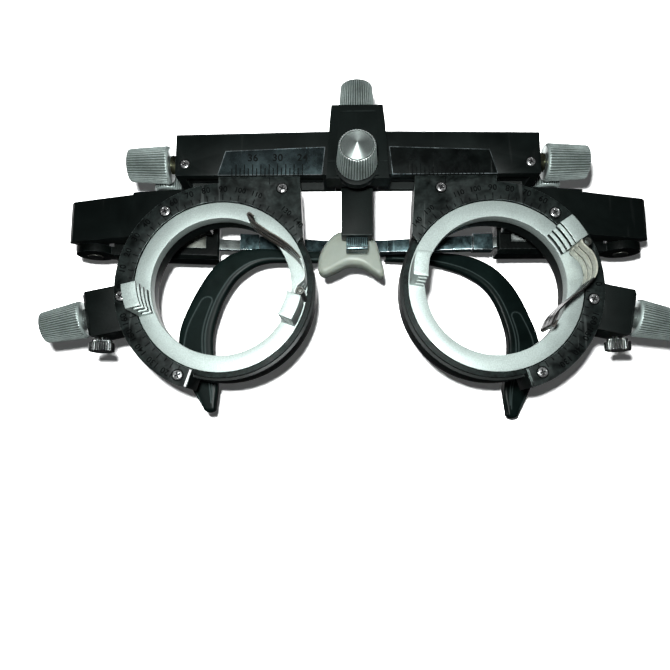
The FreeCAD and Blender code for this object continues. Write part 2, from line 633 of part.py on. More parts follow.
for name, part in temple_parts(bar_z=17.3, sleeve_z=17.2, drop=1.6, pull=0.0,
                               hook_edges=HOOK_R).items():
    save(name + "_R", part)
for name, part in temple_parts(bar_z=18.6, sleeve_z=19.4, drop=0.5, pull=PULL_L,
                               hook_edges=HOOK_L).items():
    part = mirrored(part)
    part.rotate(V(-HINGE_X, HINGE_Y, 0), UP, FOLD_REST_L)
    save(name + "_L", part)
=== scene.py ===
import bpy
import bmesh
import json
import math
import random
from mathutils import Matrix, Vector
from mathutils.kdtree import KDTree


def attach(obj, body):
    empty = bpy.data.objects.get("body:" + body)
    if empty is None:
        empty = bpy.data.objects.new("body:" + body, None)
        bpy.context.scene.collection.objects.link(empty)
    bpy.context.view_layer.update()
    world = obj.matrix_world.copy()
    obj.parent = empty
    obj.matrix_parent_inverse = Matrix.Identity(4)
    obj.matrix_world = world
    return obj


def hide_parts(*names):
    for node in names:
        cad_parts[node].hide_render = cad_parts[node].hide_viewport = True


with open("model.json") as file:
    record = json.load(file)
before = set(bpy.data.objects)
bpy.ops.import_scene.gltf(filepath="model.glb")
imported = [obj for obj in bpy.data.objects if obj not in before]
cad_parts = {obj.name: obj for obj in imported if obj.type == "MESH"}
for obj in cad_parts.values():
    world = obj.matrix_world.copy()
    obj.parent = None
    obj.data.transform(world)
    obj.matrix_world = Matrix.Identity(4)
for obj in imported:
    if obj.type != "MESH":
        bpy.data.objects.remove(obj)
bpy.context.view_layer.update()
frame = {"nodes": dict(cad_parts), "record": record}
random.seed(7)

MM = 0.001
HALF_PD = 32.4
AX = math.radians(-11.8)
FOLD_L = math.radians(9.0)
OFF = Vector((0.0, -14.274, -12.8)) * MM      # layout point of the lens cells to the origin of the frame
COL = bpy.context.scene.collection


# ---------------------------------------------------------------- materials
def nt(name):
    m = bpy.data.materials.new(name)
    m.use_nodes = True
    t = m.node_tree
    t.nodes.clear()
    return m, t, t.nodes, t.links


def surface(name, base, metallic=0.0, rough=0.5, patch=(90.0, 0.25), grain=(2600.0, 0.15), bump=0.15, rough_var=0.15,
            coat=0.0, spec=0.5, tint=None, scratch=0.0, anis=None, cav_paint=None, sss=0.0, sss_col=None, speck=0.0, trans=0.0,
            emit=0.0, stretch=(1, 1, 1), coat_rough=0.1, bump_dist=0.00006, brush=False):
    """Principled surface with patchy colour, fine grain, optional scratches and specks, and a colour painted along the
    cav attribute: painted shade in grooves and recesses, painted highlight on raised lines.
    """
    m, t, n, l = nt(name)
    out = n.new("ShaderNodeOutputMaterial")
    b = n.new("ShaderNodeBsdfPrincipled")
    l.new(b.outputs[0], out.inputs[0])
    tc = n.new("ShaderNodeTexCoord")
    mp = n.new("ShaderNodeMapping")
    mp.inputs["Scale"].default_value = stretch
    l.new(tc.outputs["Object"], mp.inputs["Vector"])
    P = mp.outputs["Vector"]

    def noise(scale, detail=4.0, r=0.55, dist=0.0):
        x = n.new("ShaderNodeTexNoise")
        x.inputs["Scale"].default_value = scale
        x.inputs["Detail"].default_value = detail
        x.inputs["Roughness"].default_value = r
        x.inputs["Distortion"].default_value = dist
        l.new(P, x.inputs["Vector"])
        return x.outputs["Fac"]

    def math_(op, a, c, clamp=False):
        x = n.new("ShaderNodeMath")
        x.operation = op
        x.use_clamp = clamp
        for i, v in enumerate((a, c)):
            if isinstance(v, (int, float)):
                x.inputs[i].default_value = v
            else:
                l.new(v, x.inputs[i])
        return x.outputs[0]

    def ramp(fac, lo, hi, out0=0.0, out1=1.0):
        x = n.new("ShaderNodeMapRange")
        x.inputs["From Min"].default_value = lo
        x.inputs["From Max"].default_value = hi
        x.inputs["To Min"].default_value = out0
        x.inputs["To Max"].default_value = out1
        l.new(fac, x.inputs["Value"])
        return x.outputs["Result"]

    def mix(fac, a, c, kind="MIX"):
        x = n.new("ShaderNodeMix")
        x.data_type = "RGBA"
        x.blend_type = kind
        if isinstance(fac, (int, float)):
            x.inputs["Factor"].default_value = fac
        else:
            l.new(fac, x.inputs["Factor"])
        for k, v in (("A", a), ("B", c)):
            s = [q for q in x.inputs if q.name == k and q.type == "RGBA"][0]
            if isinstance(v, tuple):
                s.default_value = (*v, 1.0)
            else:
                l.new(v, s)
        return [q for q in x.outputs if q.type == "RGBA"][0]

    big = noise(patch[0], 5.0, 0.6, 0.4)
    fine = noise(grain[0], 3.0, 0.6)
    dark = tuple(c * (1.0 - patch[1]) for c in base)
    light = tint if tint else tuple(min(1.0, c * (1.0 + patch[1])) for c in base)
    col = mix(ramp(big, 0.35, 0.65), dark, light)
    g0 = 1.0 - grain[1]
    col = mix(ramp(fine, 0.3, 0.7, 0.0, 1.0), mix(1.0, col, (g0, g0, g0), "MULTIPLY"), col)
    if speck:
        sp = noise(grain[0] * 1.7, 1.0, 0.5)
        col = mix(ramp(sp, 0.62, 0.72, 0.0, speck), col, tuple(c * 0.35 for c in base))
    rv = ramp(big, 0.3, 0.7, max(0.02, rough - rough_var), min(1.0, rough + rough_var))
    height = math_("ADD", math_("MULTIPLY", fine, 0.7), math_("MULTIPLY", big, 0.3))
    if scratch:
        sc = n.new("ShaderNodeTexNoise")
        sc.inputs["Scale"].default_value = 700.0
        sc.inputs["Detail"].default_value = 2.0
        mp2 = n.new("ShaderNodeMapping")
        mp2.inputs["Scale"].default_value = (1.0, 1.0, 0.06)
        mp2.inputs["Rotation"].default_value = (0.3, 0.5, 0.4)
        l.new(tc.outputs["Object"], mp2.inputs["Vector"])
        l.new(mp2.outputs["Vector"], sc.inputs["Vector"])
        sm = ramp(sc.outputs["Fac"], 0.66, 0.70, 0.0, scratch)
        col = mix(sm, col, tuple(min(1.0, c * 2.5 + 0.10) for c in base))
        height = math_("SUBTRACT", height, math_("MULTIPLY", sm, 0.6))
    if brush:      # fine turning marks, carried by the mesh as a direction round the axis
        ab = n.new("ShaderNodeAttribute")
        ab.attribute_name = "brush"
        br = n.new("ShaderNodeTexNoise")
        br.inputs["Scale"].default_value = 30.0
        br.inputs["Detail"].default_value = 2.0
        l.new(ab.outputs["Vector"], br.inputs["Vector"])
        st = ramp(br.outputs["Fac"], 0.3, 0.7, 0.0, 1.0)
        col = mix(math_("MULTIPLY", st, 0.22), col, tuple(c * 0.5 for c in base))
        height = math_("ADD", height, math_("MULTIPLY", st, 0.5))
    # colour along cav: painted shade where it is darker than the base, painted highlight where it is lighter
    if cav_paint:
        at = n.new("ShaderNodeAttribute")
        at.attribute_name = "cav"
        col = mix(math_("MULTIPLY", at.outputs["Fac"], cav_paint[1], True), col, cav_paint[0])
        rv = math_("ADD", rv, math_("MULTIPLY", at.outputs["Fac"], 0.25), True)
    if emit:
        l.new(col, b.inputs["Emission Color"])
        b.inputs["Emission Strength"].default_value = emit
    l.new(col, b.inputs["Base Color"])
    l.new(rv, b.inputs["Roughness"])
    b.inputs["Metallic"].default_value = metallic
    b.inputs["Specular IOR Level"].default_value = spec
    b.inputs["Coat Weight"].default_value = coat
    b.inputs["Coat Roughness"].default_value = coat_rough
    if anis:
        b.inputs["Anisotropic"].default_value = anis
        tg = n.new("ShaderNodeAttribute")
        tg.attribute_name = "tang"
        vt = n.new("ShaderNodeVectorTransform")
        vt.vector_type = "VECTOR"
        vt.convert_from = "OBJECT"
        vt.convert_to = "WORLD"
        l.new(tg.outputs["Vector"], vt.inputs[0])
        l.new(vt.outputs[0], b.inputs["Tangent"])
    if sss:
        b.inputs["Subsurface Weight"].default_value = sss
        b.inputs["Subsurface Radius"].default_value = (1.0, 0.9, 0.8)
        b.inputs["Subsurface Scale"].default_value = 0.0025
    if trans:
        b.inputs["Transmission Weight"].default_value = trans
    if bump:
        bp = n.new("ShaderNodeBump")
        bp.inputs["Strength"].default_value = bump
        bp.inputs["Distance"].default_value = bump_dist
        l.new(height, bp.inputs["Height"])
        l.new(bp.outputs["Normal"], b.inputs["Normal"])
    return m


M = {}
M["body"] = surface("black_body", (0.0036, 0.0058, 0.0053), rough=0.50, patch=(70.0, 0.35), grain=(3800.0, 0.25), bump=0.35,
                    rough_var=0.10, spec=0.17, scratch=0.05)
M["nose_bar"] = surface("nose_bar_black", (0.0036, 0.0060, 0.0054), rough=0.48, patch=(90.0, 0.35), grain=(3000.0, 0.3), bump=0.3, spec=0.12)
M["rail"] = surface("oiled_rail", (0.010, 0.014, 0.013), metallic=0.3, rough=0.45, patch=(220.0, 0.4), grain=(2400.0, 0.4), bump=0.3, spec=0.15)
M["body_edge"] = surface("black_body_edge", (0.018, 0.024, 0.023), metallic=0.2, rough=0.42, patch=(260.0, 0.7), grain=(3000.0, 0.4), bump=0.3, spec=0.3)
M["plate"] = surface("black_plate", (0.0085, 0.0125, 0.0118), metallic=0.2, rough=0.42, patch=(330.0, 0.65), grain=(1500.0, 0.55),
                     bump=0.5, rough_var=0.15, tint=(0.021, 0.029, 0.0275), scratch=0.30, spec=0.30, speck=0.6)
M["plate_edge"] = surface("worn_plate_edge", (0.22, 0.26, 0.25), metallic=0.7, rough=0.38, patch=(420.0, 0.9), grain=(2600.0, 0.6), bump=0.3)
M["plate_end"] = surface("bright_plate_end", (0.86, 0.84, 0.86), metallic=0.3, rough=0.35, patch=(420.0, 0.25), grain=(2600.0, 0.3), bump=0.3)
M["pd_plate"] = surface("scale_plate", (0.125, 0.175, 0.185), metallic=1.0, rough=0.28, patch=(260.0, 0.35), grain=(2400.0, 0.3),
                        bump=0.25, rough_var=0.07, scratch=0.4, speck=0.3)
M["pd_plate_dark"] = surface("scale_plate_painted_shade", (0.0040, 0.0060, 0.0056), metallic=0.4, rough=0.40, patch=(300.0, 0.55), grain=(1800.0, 0.5),
                             bump=0.3, rough_var=0.08, scratch=0.25, spec=0.25)
M["ink"] = surface("engraving_ink", (0.003, 0.004, 0.004), rough=0.8, patch=(300.0, 0.4), grain=(3000.0, 0.3), bump=0.2, spec=0.1)
M["ink2"] = surface("engraving_and_painted_shadow", (0.002, 0.0026, 0.0026), rough=0.85, patch=(400.0, 0.6), grain=(3000.0, 0.4), bump=0.2, spec=0.05)
M["silver"] = surface("blasted_silver", (0.50, 0.565, 0.545), metallic=0.45, rough=0.48, patch=(120.0, 0.05), grain=(3300.0, 0.30), bump=0.9,
                      rough_var=0.06, speck=0.45)
M["silver_edge"] = surface("silver_edge", (0.66, 0.70, 0.69), metallic=0.6, rough=0.34, patch=(200.0, 0.12), grain=(2800.0, 0.25), bump=0.4)
M["crown"] = surface("crown_teeth", (0.010, 0.015, 0.014), metallic=0.1, rough=0.50, patch=(700.0, 0.8), grain=(2300.0, 0.5), bump=0.6, spec=0.10, speck=0.4)
M["slot"] = surface("slot_land", (0.020, 0.024, 0.023), metallic=0.2, rough=0.55, patch=(300.0, 0.4), grain=(2600.0, 0.4), bump=0.4, spec=0.2)
M["knob"] = surface("knurled_knob", (0.55, 0.63, 0.61), metallic=0.40, rough=0.36, patch=(160.0, 0.2), grain=(2500.0, 0.35), bump=0.5,
                    cav_paint=((0.030, 0.038, 0.034), 0.95), speck=0.35)
M["knob_rim"] = surface("knob_rim", (0.80, 0.83, 0.82), metallic=0.6, rough=0.28, patch=(200.0, 0.2), grain=(2500.0, 0.3), bump=0.3,
                        cav_paint=((0.05, 0.06, 0.055), 0.9))
M["knob_face"] = surface("turned_knob_face", (0.60, 0.665, 0.645), metallic=0.92, rough=0.42, patch=(120.0, 0.10), grain=(2600.0, 0.15), bump=0.15, brush=True,
                         anis=0.62)
M["steel"] = surface("blue_steel", (0.060, 0.105, 0.115), metallic=0.8, rough=0.34, patch=(300.0, 0.6), grain=(1300.0, 0.55), bump=0.6,
                     rough_var=0.12, scratch=0.35, speck=0.5, tint=(0.105, 0.165, 0.18))
M["holder"] = surface("ribbed_steel", (0.11, 0.17, 0.18), metallic=0.8, rough=0.36, patch=(300.0, 0.4), grain=(1500.0, 0.5), bump=0.5, scratch=0.3, speck=0.4)
M["steel_grey"] = surface("grey_steel", (0.15, 0.165, 0.16), metallic=0.7, rough=0.38, patch=(220.0, 0.35), grain=(2000.0, 0.4), bump=0.5, scratch=0.3, speck=0.3)
M["insert_L"] = surface("insert_light", (0.125, 0.130, 0.108), metallic=0.25, rough=0.42, patch=(240.0, 0.4), grain=(1600.0, 0.45), bump=0.6, scratch=0.25, speck=0.4)
M["insert_R"] = surface("insert_dark", (0.038, 0.045, 0.043), metallic=0.25, rough=0.42, patch=(240.0, 0.4), grain=(1600.0, 0.45), bump=0.6, scratch=0.25, speck=0.4)
M["insert_edge"] = surface("insert_edge", (0.30, 0.33, 0.32), metallic=0.6, rough=0.3, patch=(300.0, 0.4), grain=(2300.0, 0.4), bump=0.3)
M["steel_edge"] = surface("steel_edge", (0.42, 0.48, 0.50), metallic=0.9, rough=0.28, patch=(260.0, 0.5), grain=(2300.0, 0.4), bump=0.3)
M["screw"] = surface("screw_steel", (0.80, 0.75, 0.77), metallic=0.85, rough=0.24, patch=(900.0, 0.35), grain=(2000.0, 0.4), bump=0.5, speck=0.5,
                     cav_paint=((0.025, 0.025, 0.026), 1.0))
M["pin_end"] = surface("pin_end", (0.10, 0.10, 0.09), metallic=0.7, rough=0.4, patch=(300.0, 0.4), grain=(2300.0, 0.4), bump=0.3)
M["chrome"] = surface("chrome", (0.36, 0.37, 0.37), metallic=1.0, rough=0.14, patch=(300.0, 0.2), grain=(3000.0, 0.15), bump=0.15,
                      cav_paint=((0.012, 0.012, 0.012), 1.0), rough_var=0.05)
M["brass"] = surface("brass", (0.40, 0.30, 0.11), metallic=1.0, rough=0.32, patch=(200.0, 0.3), grain=(2500.0, 0.3), bump=0.3)
M["bronze"] = surface("bronze_neck", (0.08, 0.08, 0.05), metallic=0.9, rough=0.35, patch=(300.0, 0.5), grain=(2500.0, 0.3), bump=0.3)
M["spring"] = surface("spring_steel", (0.66, 0.65, 0.55), metallic=0.25, rough=0.36, patch=(260.0, 0.25), grain=(1800.0, 0.3), bump=0.4, speck=0.35)
M["spring_pale"] = surface("spring_pale", (0.60, 0.66, 0.635), metallic=0.25, rough=0.38, patch=(260.0, 0.25), grain=(1800.0, 0.3), bump=0.4, speck=0.35)
M["spring_dark"] = surface("spring_shaded", (0.020, 0.018, 0.017), metallic=0.3, rough=0.36, patch=(260.0, 0.4), grain=(1800.0, 0.35), bump=0.4, spec=0.3)
M["spring_tan"] = surface("spring_tan", (0.115, 0.100, 0.090), metallic=0.4, rough=0.34, patch=(300.0, 0.5), grain=(1800.0, 0.4), bump=0.4, speck=0.4)
M["hook"] = surface("gloss_black", (0.0048, 0.0098, 0.0090), rough=0.36, patch=(60.0, 0.4), grain=(2500.0, 0.2), bump=0.15, coat=0.02,
                    rough_var=0.06, spec=0.08, coat_rough=0.25, cav_paint=((0.055, 0.075, 0.073), 1.0))
M["hook_line"] = surface("hook_ridge", (0.070, 0.090, 0.090), rough=0.30, patch=(200.0, 0.5), grain=(2500.0, 0.2), bump=0.1, coat=0.1, spec=0.4)
M["silicone"] = surface("silicone_pad", (0.345, 0.375, 0.33), rough=0.42, patch=(160.0, 0.06), grain=(1500.0, 0.05), bump=0.12, sss=0.9,
                        rough_var=0.06, spec=0.35, coat=0.1, coat_rough=0.3)
M["temple"] = surface("grained_black", (0.0014, 0.0026, 0.0023), rough=0.55, patch=(160.0, 0.4), grain=(1500.0, 0.4), bump=1.0, rough_var=0.12,
                      spec=0.09, bump_dist=0.00014)
M["temple_edge"] = surface("grained_black_edge", (0.014, 0.019, 0.019), rough=0.45, patch=(260.0, 0.6), grain=(2500.0, 0.4), bump=0.4, spec=0.3)


# ---------------------------------------------------------------- mesh helpers
def finish_mesh(name, me, mats, body, replaces=(), angle=35.0, placed=False):
    if not placed:
        me.transform(Matrix.Translation(OFF))
    o = bpy.data.objects.new(name, me)
    COL.objects.link(o)
    for mt in mats:
        me.materials.append(mt)
    smooth_by_angle(me, angle)
    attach(o, body)
    if replaces:
        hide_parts(*replaces)
    return o


def smooth_by_angle(me, angle):
    me.polygons.foreach_set("use_smooth", [True] * len(me.polygons))
    me.set_sharp_from_angle(angle=math.radians(angle))


def from_bm(name, bm, mats, body, replaces=(), angle=35.0, placed=False):
    me = bpy.data.meshes.new(name)
    bm.normal_update()
    bm.to_mesh(me)
    bm.free()
    return finish_mesh(name, me, mats, body, replaces, angle, placed)


def surface_of(bm):
    return sum(f.calc_area() for f in bm.faces)


def refine(node, mats, bevel=0.2, segs=2, sharp=28.0, name=None, paint=None, split=None):
    """A finished copy of a machined part: joined up, flat faces cleaned, edges rounded, rounded edges marked as worn."""
    src = frame["nodes"][node]
    body = next(b for b, ns in frame["record"]["behaviour"]["bodies"].items() if node in ns)
    made = None
    for clean, width in ((True, bevel), (True, bevel * 0.5), (False, bevel * 0.5), (False, 0.0)):
        bm = bmesh.new()
        bm.from_mesh(src.data)
        bm.transform(src.matrix_world)
        bmesh.ops.remove_doubles(bm, verts=bm.verts, dist=2e-6)
        area0, vol0 = surface_of(bm), abs(bm.calc_volume())
        if clean:
            keep_e, keep_v = set(), set()
            if split is not None:
                for axis in (Vector((1, 0, 0)), Vector((0, 0, 1))):
                    g = bmesh.ops.bisect_plane(bm, geom=bm.verts[:] + bm.edges[:] + bm.faces[:], dist=1e-7, plane_co=split, plane_no=axis)
                    for e in g["geom_cut"]:
                        if isinstance(e, bmesh.types.BMEdge):
                            keep_e.add(e)
                            keep_v.update(e.verts)
            # a second split may have cut edges kept from the first, so they are found again by place
            if split is not None:
                keep_e = {e for e in bm.edges if all(abs(v.co.x - split.x) < 1e-6 for v in e.verts) or all(abs(v.co.z - split.z) < 1e-6 for v in e.verts)}
                keep_v = {v for e in keep_e for v in e.verts}
            bmesh.ops.dissolve_limit(bm, angle_limit=math.radians(0.6), verts=[v for v in bm.verts if v not in keep_v],
                                     edges=[e for e in bm.edges if e not in keep_e])
        for f in bm.faces:
            f.material_index = 0
        if width:
            es = []
            for e in bm.edges:
                if len(e.link_faces) == 2 and e.calc_length() > 1e-6:
                    if e.calc_face_angle(0.0) > math.radians(sharp):
                        es.append(e)
            bmesh.ops.bevel(bm, geom=es, offset=width * MM, offset_type="OFFSET", segments=segs, profile=0.6, affect="EDGES",
                            clamp_overlap=True, material=min(1, len(mats) - 1), loop_slide=True)
        bmesh.ops.triangulate(bm, faces=[f for f in bm.faces if len(f.verts) > 4])
        area1, vol1 = surface_of(bm), abs(bm.calc_volume())
        if 0.85 < area1 / area0 < 1.015 and 0.94 < vol1 / vol0 < 1.01:
            made = bm
            break
        print("refine", node, "clean", clean, "bevel", width, "area", round(area1 / area0, 3), "volume", round(vol1 / vol0, 3))
        bm.free()
    if made is None:
        made = bmesh.new()
        made.from_mesh(src.data)
        made.transform(src.matrix_world)
    if paint:
        paint(made)
    return from_bm(name or node + "_finish", made, mats, body, (node,), 40.0, True)


def basis(d):
    """A right-handed set (u, v, d) for direction d."""
    d = Vector(d).normalized()
    up = Vector((0, 0, 1)) if abs(d.z) < 0.9 else Vector((0, 1, 0))
    u = d.cross(up).normalized()
    v = d.cross(u).normalized()
    return u, v, d


def lathe_knob(name, base, direction, r0, r1, length, body, replaces, mats, flutes=54, depth=0.2, face=1.0, stem=None, phase=0.0):
    """Straight-fluted knob: plain rim at both ends, rounded flutes between, turned cone and ring groove on the outer face."""
    base = Vector(base)
    u, v, d = basis(direction)
    sub = 6
    n = flutes * sub
    rows = []   # (t along axis in mm, radius, flute depth factor, material)
    if stem:
        rows += [(-stem[1], 0.05, 0, 1), (-stem[1], stem[0], 0, 1), (-0.02, stem[0], 0, 1)]
    else:
        rows += [(0.0, 0.05, 0, 1)]
    L = length - face
    rows += [(0.0, r0 - 0.75, 0, 1), (0.05, r0 - 0.5, 0, 0), (0.2, r0 - 0.28, 0, 0), (0.38, r0 - 0.16, 0.15, 0), (0.55, r0 - 0.05, 0.7, 0), (0.75, r0, 1.0, 0)]
    m = 9
    for i in range(1, m):
        f = i / m
        rows.append((0.75 + (L - 1.25) * f, r0 + (r1 - r0) * f, 1.0, 0))
    rows += [(L - 0.5, r1, 1.0, 0), (L - 0.25, r1 - 0.03, 0.95, 0), (L - 0.08, r1 - 0.10, 0.8, 0), (L, r1 - 0.22, 0.45, 2), (L + 0.02, r1 - 0.36, 0.1, 2),
             (L - 0.10, r1 - 0.46, 0.0, 0), (L - 0.20, r1 - 0.54, 0.0, 0), (L - 0.10, r1 - 0.62, 0.0, 0), (L + 0.03, r1 - 0.70, 0.0, 1)]
    for i in range(1, 12):
        f = i / 12
        rows.append((L + 0.03 + (face * 0.95 - 0.03) * f, (r1 - 0.70) * (1 - f), 0, 1))
    rows.append((L + face * 0.95, 0.04, 0, 1))
    bm = bmesh.new()
    cav = bm.verts.layers.float.new("cav")
    brush = bm.verts.layers.float_vector.new("brush")
    tang = bm.verts.layers.float_vector.new("tang")
    rings = []
    for t, r, fl, mt in rows:
        ring = []
        for i in range(n):
            a = 2 * math.pi * i / n + phase
            ph = (i % sub) / sub
            g = (0.5 - 0.5 * math.cos(2 * math.pi * ph)) ** 0.65          # 0 on the crest, 1 in the groove
            rr = max(0.03, r - depth * fl * g)
            p = base + (u * math.cos(a) + v * math.sin(a)) * rr + d * t
            vt = bm.verts.new(p * MM)
            # cav marks the flute grooves and the ring groove on the face; the knob materials paint them darker: painted
            # shade
            vt[cav] = 1.0 if L - 0.3 < t < L and fl == 0.0 else g * fl
            vt[brush] = (0.3, 0.7, r / 3.6)
            vt[tang] = u * math.cos(a) + v * math.sin(a)
            ring.append(vt)
        rings.append(ring)
    for k in range(len(rings) - 1):
        for i in range(n):
            j = (i + 1) % n
            f = bm.faces.new((rings[k][i], rings[k][j], rings[k + 1][j], rings[k + 1][i]))
            f.material_index = 2 if rows[k + 1][3] == 2 or rows[k][3] == 2 else (1 if rows[k + 1][3] == 1 and rows[k][3] == 1 else 0)
    f = bm.faces.new(rings[-1])
    f.material_index = 1
    f = bm.faces.new(list(reversed(rings[0])))
    f.material_index = 1
    bmesh.ops.recalc_face_normals(bm, faces=bm.faces)
    return from_bm(name, bm, list(mats) + [M["knob_rim"]], body, replaces, 55.0)


def thumb(name, node, cx, cy, z_top, z_bot, r, body):
    """Fluted thumb screw with a turned neck and a thread running up into its block."""
    bm = bmesh.new()
    cav = bm.verts.layers.float.new("cav")
    n = 240
    prof = [(z_top + 4.3, 0.05, 0), (z_top + 4.3, 1.0, 0)]
    z = z_top + 4.2
    while z > z_top + 0.15:       # thread
        prof += [(z, 1.12, 0), (z - 0.12, 0.95, 0)]
        z -= 0.28
    prof += [(z_top - 0.02, 1.1, 0), (z_top - 0.02, 2.1, 0), (z_top - 0.1, 2.4, 1), (z_top - 0.3, 2.45, 1), (z_top - 0.5, 2.4, 1), (z_top - 0.56, 1.9, 0), (z_top - 0.62, 1.9, 0)]
    h = z_top - 0.64
    prof += [(h, r - 0.35, 0), (h - 0.12, r - 0.08, 0)]
    m = 12
    for i in range(m + 1):
        prof.append((h - 0.2 + (z_bot + 0.2 - h + 0.2) * i / m, r, 1))
    prof += [(z_bot + 0.1, r - 0.1, 0), (z_bot, r - 0.35, 0), (z_bot, r - 0.7, 0), (z_bot + 0.12, r - 0.95, 0), (z_bot + 0.12, 0.05, 0)]
    rings = []
    for k, (z, rr, kn) in enumerate(prof):
        ring = []
        for i in range(n):
            a = 2 * math.pi * i / n
            g = (0.5 - 0.5 * math.cos(30 * a)) if kn else 0.0
            q = rr - 0.2 * g * kn
            vt = bm.verts.new(Vector((cx + q * math.cos(a), cy + q * math.sin(a), z)) * MM)
            # cav marks the flute grooves; the chrome material paints them darker: painted shade
            vt[cav] = g * kn
            ring.append(vt)
        rings.append(ring)
    for k in range(len(rings) - 1):
        for i in range(n):
            j = (i + 1) % n
            bm.faces.new((rings[k][i], rings[k][j], rings[k + 1][j], rings[k + 1][i]))
    bm.faces.new(rings[-1])
    bm.faces.new(rings[0])
    bmesh.ops.recalc_face_normals(bm, faces=bm.faces)
    return from_bm(name, bm, [M["chrome"]], body, (node,), 50.0)


def screw_mesh(name, node, body, spots, y0, R, turn=0.4):
    """Round-head screws with a cross recess, heads towards the front."""
    bm = bmesh.new()
    cav = bm.verts.layers.float.new("cav")
    n = 72
    for num, (x, z) in enumerate(spots):
        rot = turn + num * 0.7
        rows = [(r, y0 - 0.16 - 0.34 * math.sqrt(max(0.0, 1 - (r / R) ** 2)), 1) for r in [R * (0.02 + 0.96 * i / 24) for i in range(25)]]
        rows += [(R, y0 - 0.14, 0), (R, y0, 0), (0.7, y0, 0), (0.7, y0 + 1.4, 0), (0.05, y0 + 1.5, 0)]
        rings = []
        for r, y, top in rows:
            ring = []
            for i in range(n):
                a = 2 * math.pi * i / n
                px, pz = r * math.cos(a), r * math.sin(a)
                qx, qz = px * math.cos(rot) + pz * math.sin(rot), -px * math.sin(rot) + pz * math.cos(rot)
                d = 0.0
                if top:
                    arm = min(max(abs(qx) / (0.15 * R), abs(qz) / (0.66 * R)), max(abs(qz) / (0.15 * R), abs(qx) / (0.66 * R)))
                    d = max(0.0, min(1.0, (1.15 - arm) / 0.3))
                vt = bm.verts.new(Vector((x + px, y + 0.26 * d, z + pz)) * MM)
                # cav marks the cross recess, the head's rim and the shank; the screw material paints them darker:
                # painted shade
                vt[cav] = d if top else (1.0 if r < R else 0.5)
                ring.append(vt)
            rings.append(ring)
        for k in range(len(rings) - 1):
            for i in range(n):
                j = (i + 1) % n
                bm.faces.new((rings[k][i], rings[k][j], rings[k + 1][j], rings[k + 1][i]))
        bm.faces.new(rings[0])
        bm.faces.new(rings[-1])
    bmesh.ops.recalc_face_normals(bm, faces=bm.faces)
    return from_bm(name, bm, [M["screw"]], body, (node,), 40.0)


def flat(name, loops, y0, y1, bev, mats, body, replaces=(), xf=None):
    """Plate cut from outlines (x, z) in mm, from depth y0 to y1, with rounded edges."""
    cu = bpy.data.curves.new(name + "_c", "CURVE")
    cu.dimensions = "2D"
    cu.fill_mode = "BOTH"
    for lp in loops:
        s = cu.splines.new("POLY")
        s.points.add(len(lp) - 1)
        for i, (x, z) in enumerate(lp):
            s.points[i].co = (x * MM, z * MM, 0, 1)
        s.use_cyclic_u = True
    cu.extrude = ((y1 - y0) / 2 - bev) * MM
    cu.bevel_depth = bev * MM
    cu.bevel_resolution = 2
    cu.offset = -bev * MM
    ob = bpy.data.objects.new(name + "_t", cu)
    COL.objects.link(ob)
    bpy.context.view_layer.update()
    dg = bpy.context.evaluated_depsgraph_get()
    me = bpy.data.meshes.new_from_object(ob.evaluated_get(dg))
    bpy.data.objects.remove(ob)
    bpy.data.curves.remove(cu)
    me.materials.clear()
    me.transform(Matrix.Translation((0, (y0 + y1) / 2 * MM, 0)) @ Matrix.Rotation(math.radians(90), 4, "X"))
    if xf:
        me.transform(xf)
    bm = bmesh.new()
    bm.from_mesh(me)
    bmesh.ops.remove_doubles(bm, verts=bm.verts, dist=1e-6)
    bmesh.ops.recalc_face_normals(bm, faces=bm.faces)
    bm.to_mesh(me)
    bm.free()
    return finish_mesh(name, me, mats, body, replaces, 40.0)


def merge(name, parts, mats, body, replaces=()):
    """Joins helper meshes (world coordinates, mm already scaled) into one piece."""
    bm = bmesh.new()
    for me in parts:
        bm.from_mesh(me)
    return from_bm(name, bm, mats, body, replaces, 40.0)


def ring_mesh(cx, cz, r0, r1, y0, y1):
    """Flat ring facing -Y."""
    bm = bmesh.new()
    n = 48
    rows = []
    for y, r in ((y1, r0), (y0, r0), (y0, r1), (y1, r1)):
        rows.append([bm.verts.new(Vector((cx + r * math.cos(2 * math.pi * i / n), y, cz + r * math.sin(2 * math.pi * i / n))) * MM) for i in range(n)])
    for a in range(4):
        c = (a + 1) % 4
        for i in range(n):
            j = (i + 1) % n
            bm.faces.new((rows[a][i], rows[a][j], rows[c][j], rows[c][i]))
    bmesh.ops.recalc_face_normals(bm, faces=bm.faces)
    me = bpy.data.meshes.new("ring")
    bm.to_mesh(me)
    bm.free()
    return me


def digits(text, size, xf, weight=0.0):
    """A raised digit string as a mesh; xf places it (its own plane is XY, facing +Z)."""
    cu = bpy.data.curves.new("digits", "FONT")
    cu.body = text
    cu.size = size * MM
    cu.align_x = "CENTER"
    cu.align_y = "CENTER"
    cu.extrude = 0.012 * MM
    cu.space_character = 1.05
    cu.offset = weight * MM
    ob = bpy.data.objects.new("digits", cu)
    COL.objects.link(ob)
    bpy.context.view_layer.update()
    dg = bpy.context.evaluated_depsgraph_get()
    me = bpy.data.meshes.new_from_object(ob.evaluated_get(dg))
    bpy.data.objects.remove(ob)
    bpy.data.curves.remove(cu)
    me.transform(xf)
    return me


def bar_mesh(x0, x1, z0, z1, y0, y1, xf=None):
    bm = bmesh.new()
    bmesh.ops.create_cube(bm, size=1.0)
    for vt in bm.verts:
        vt.co = Vector((x0 + (x1 - x0) * (vt.co.x + 0.5), y0 + (y1 - y0) * (vt.co.y + 0.5), z0 + (z1 - z0) * (vt.co.z + 0.5))) * MM
    if xf:
        bm.transform(xf)
    me = bpy.data.meshes.new("bar")
    bm.to_mesh(me)
    bm.free()
    return me


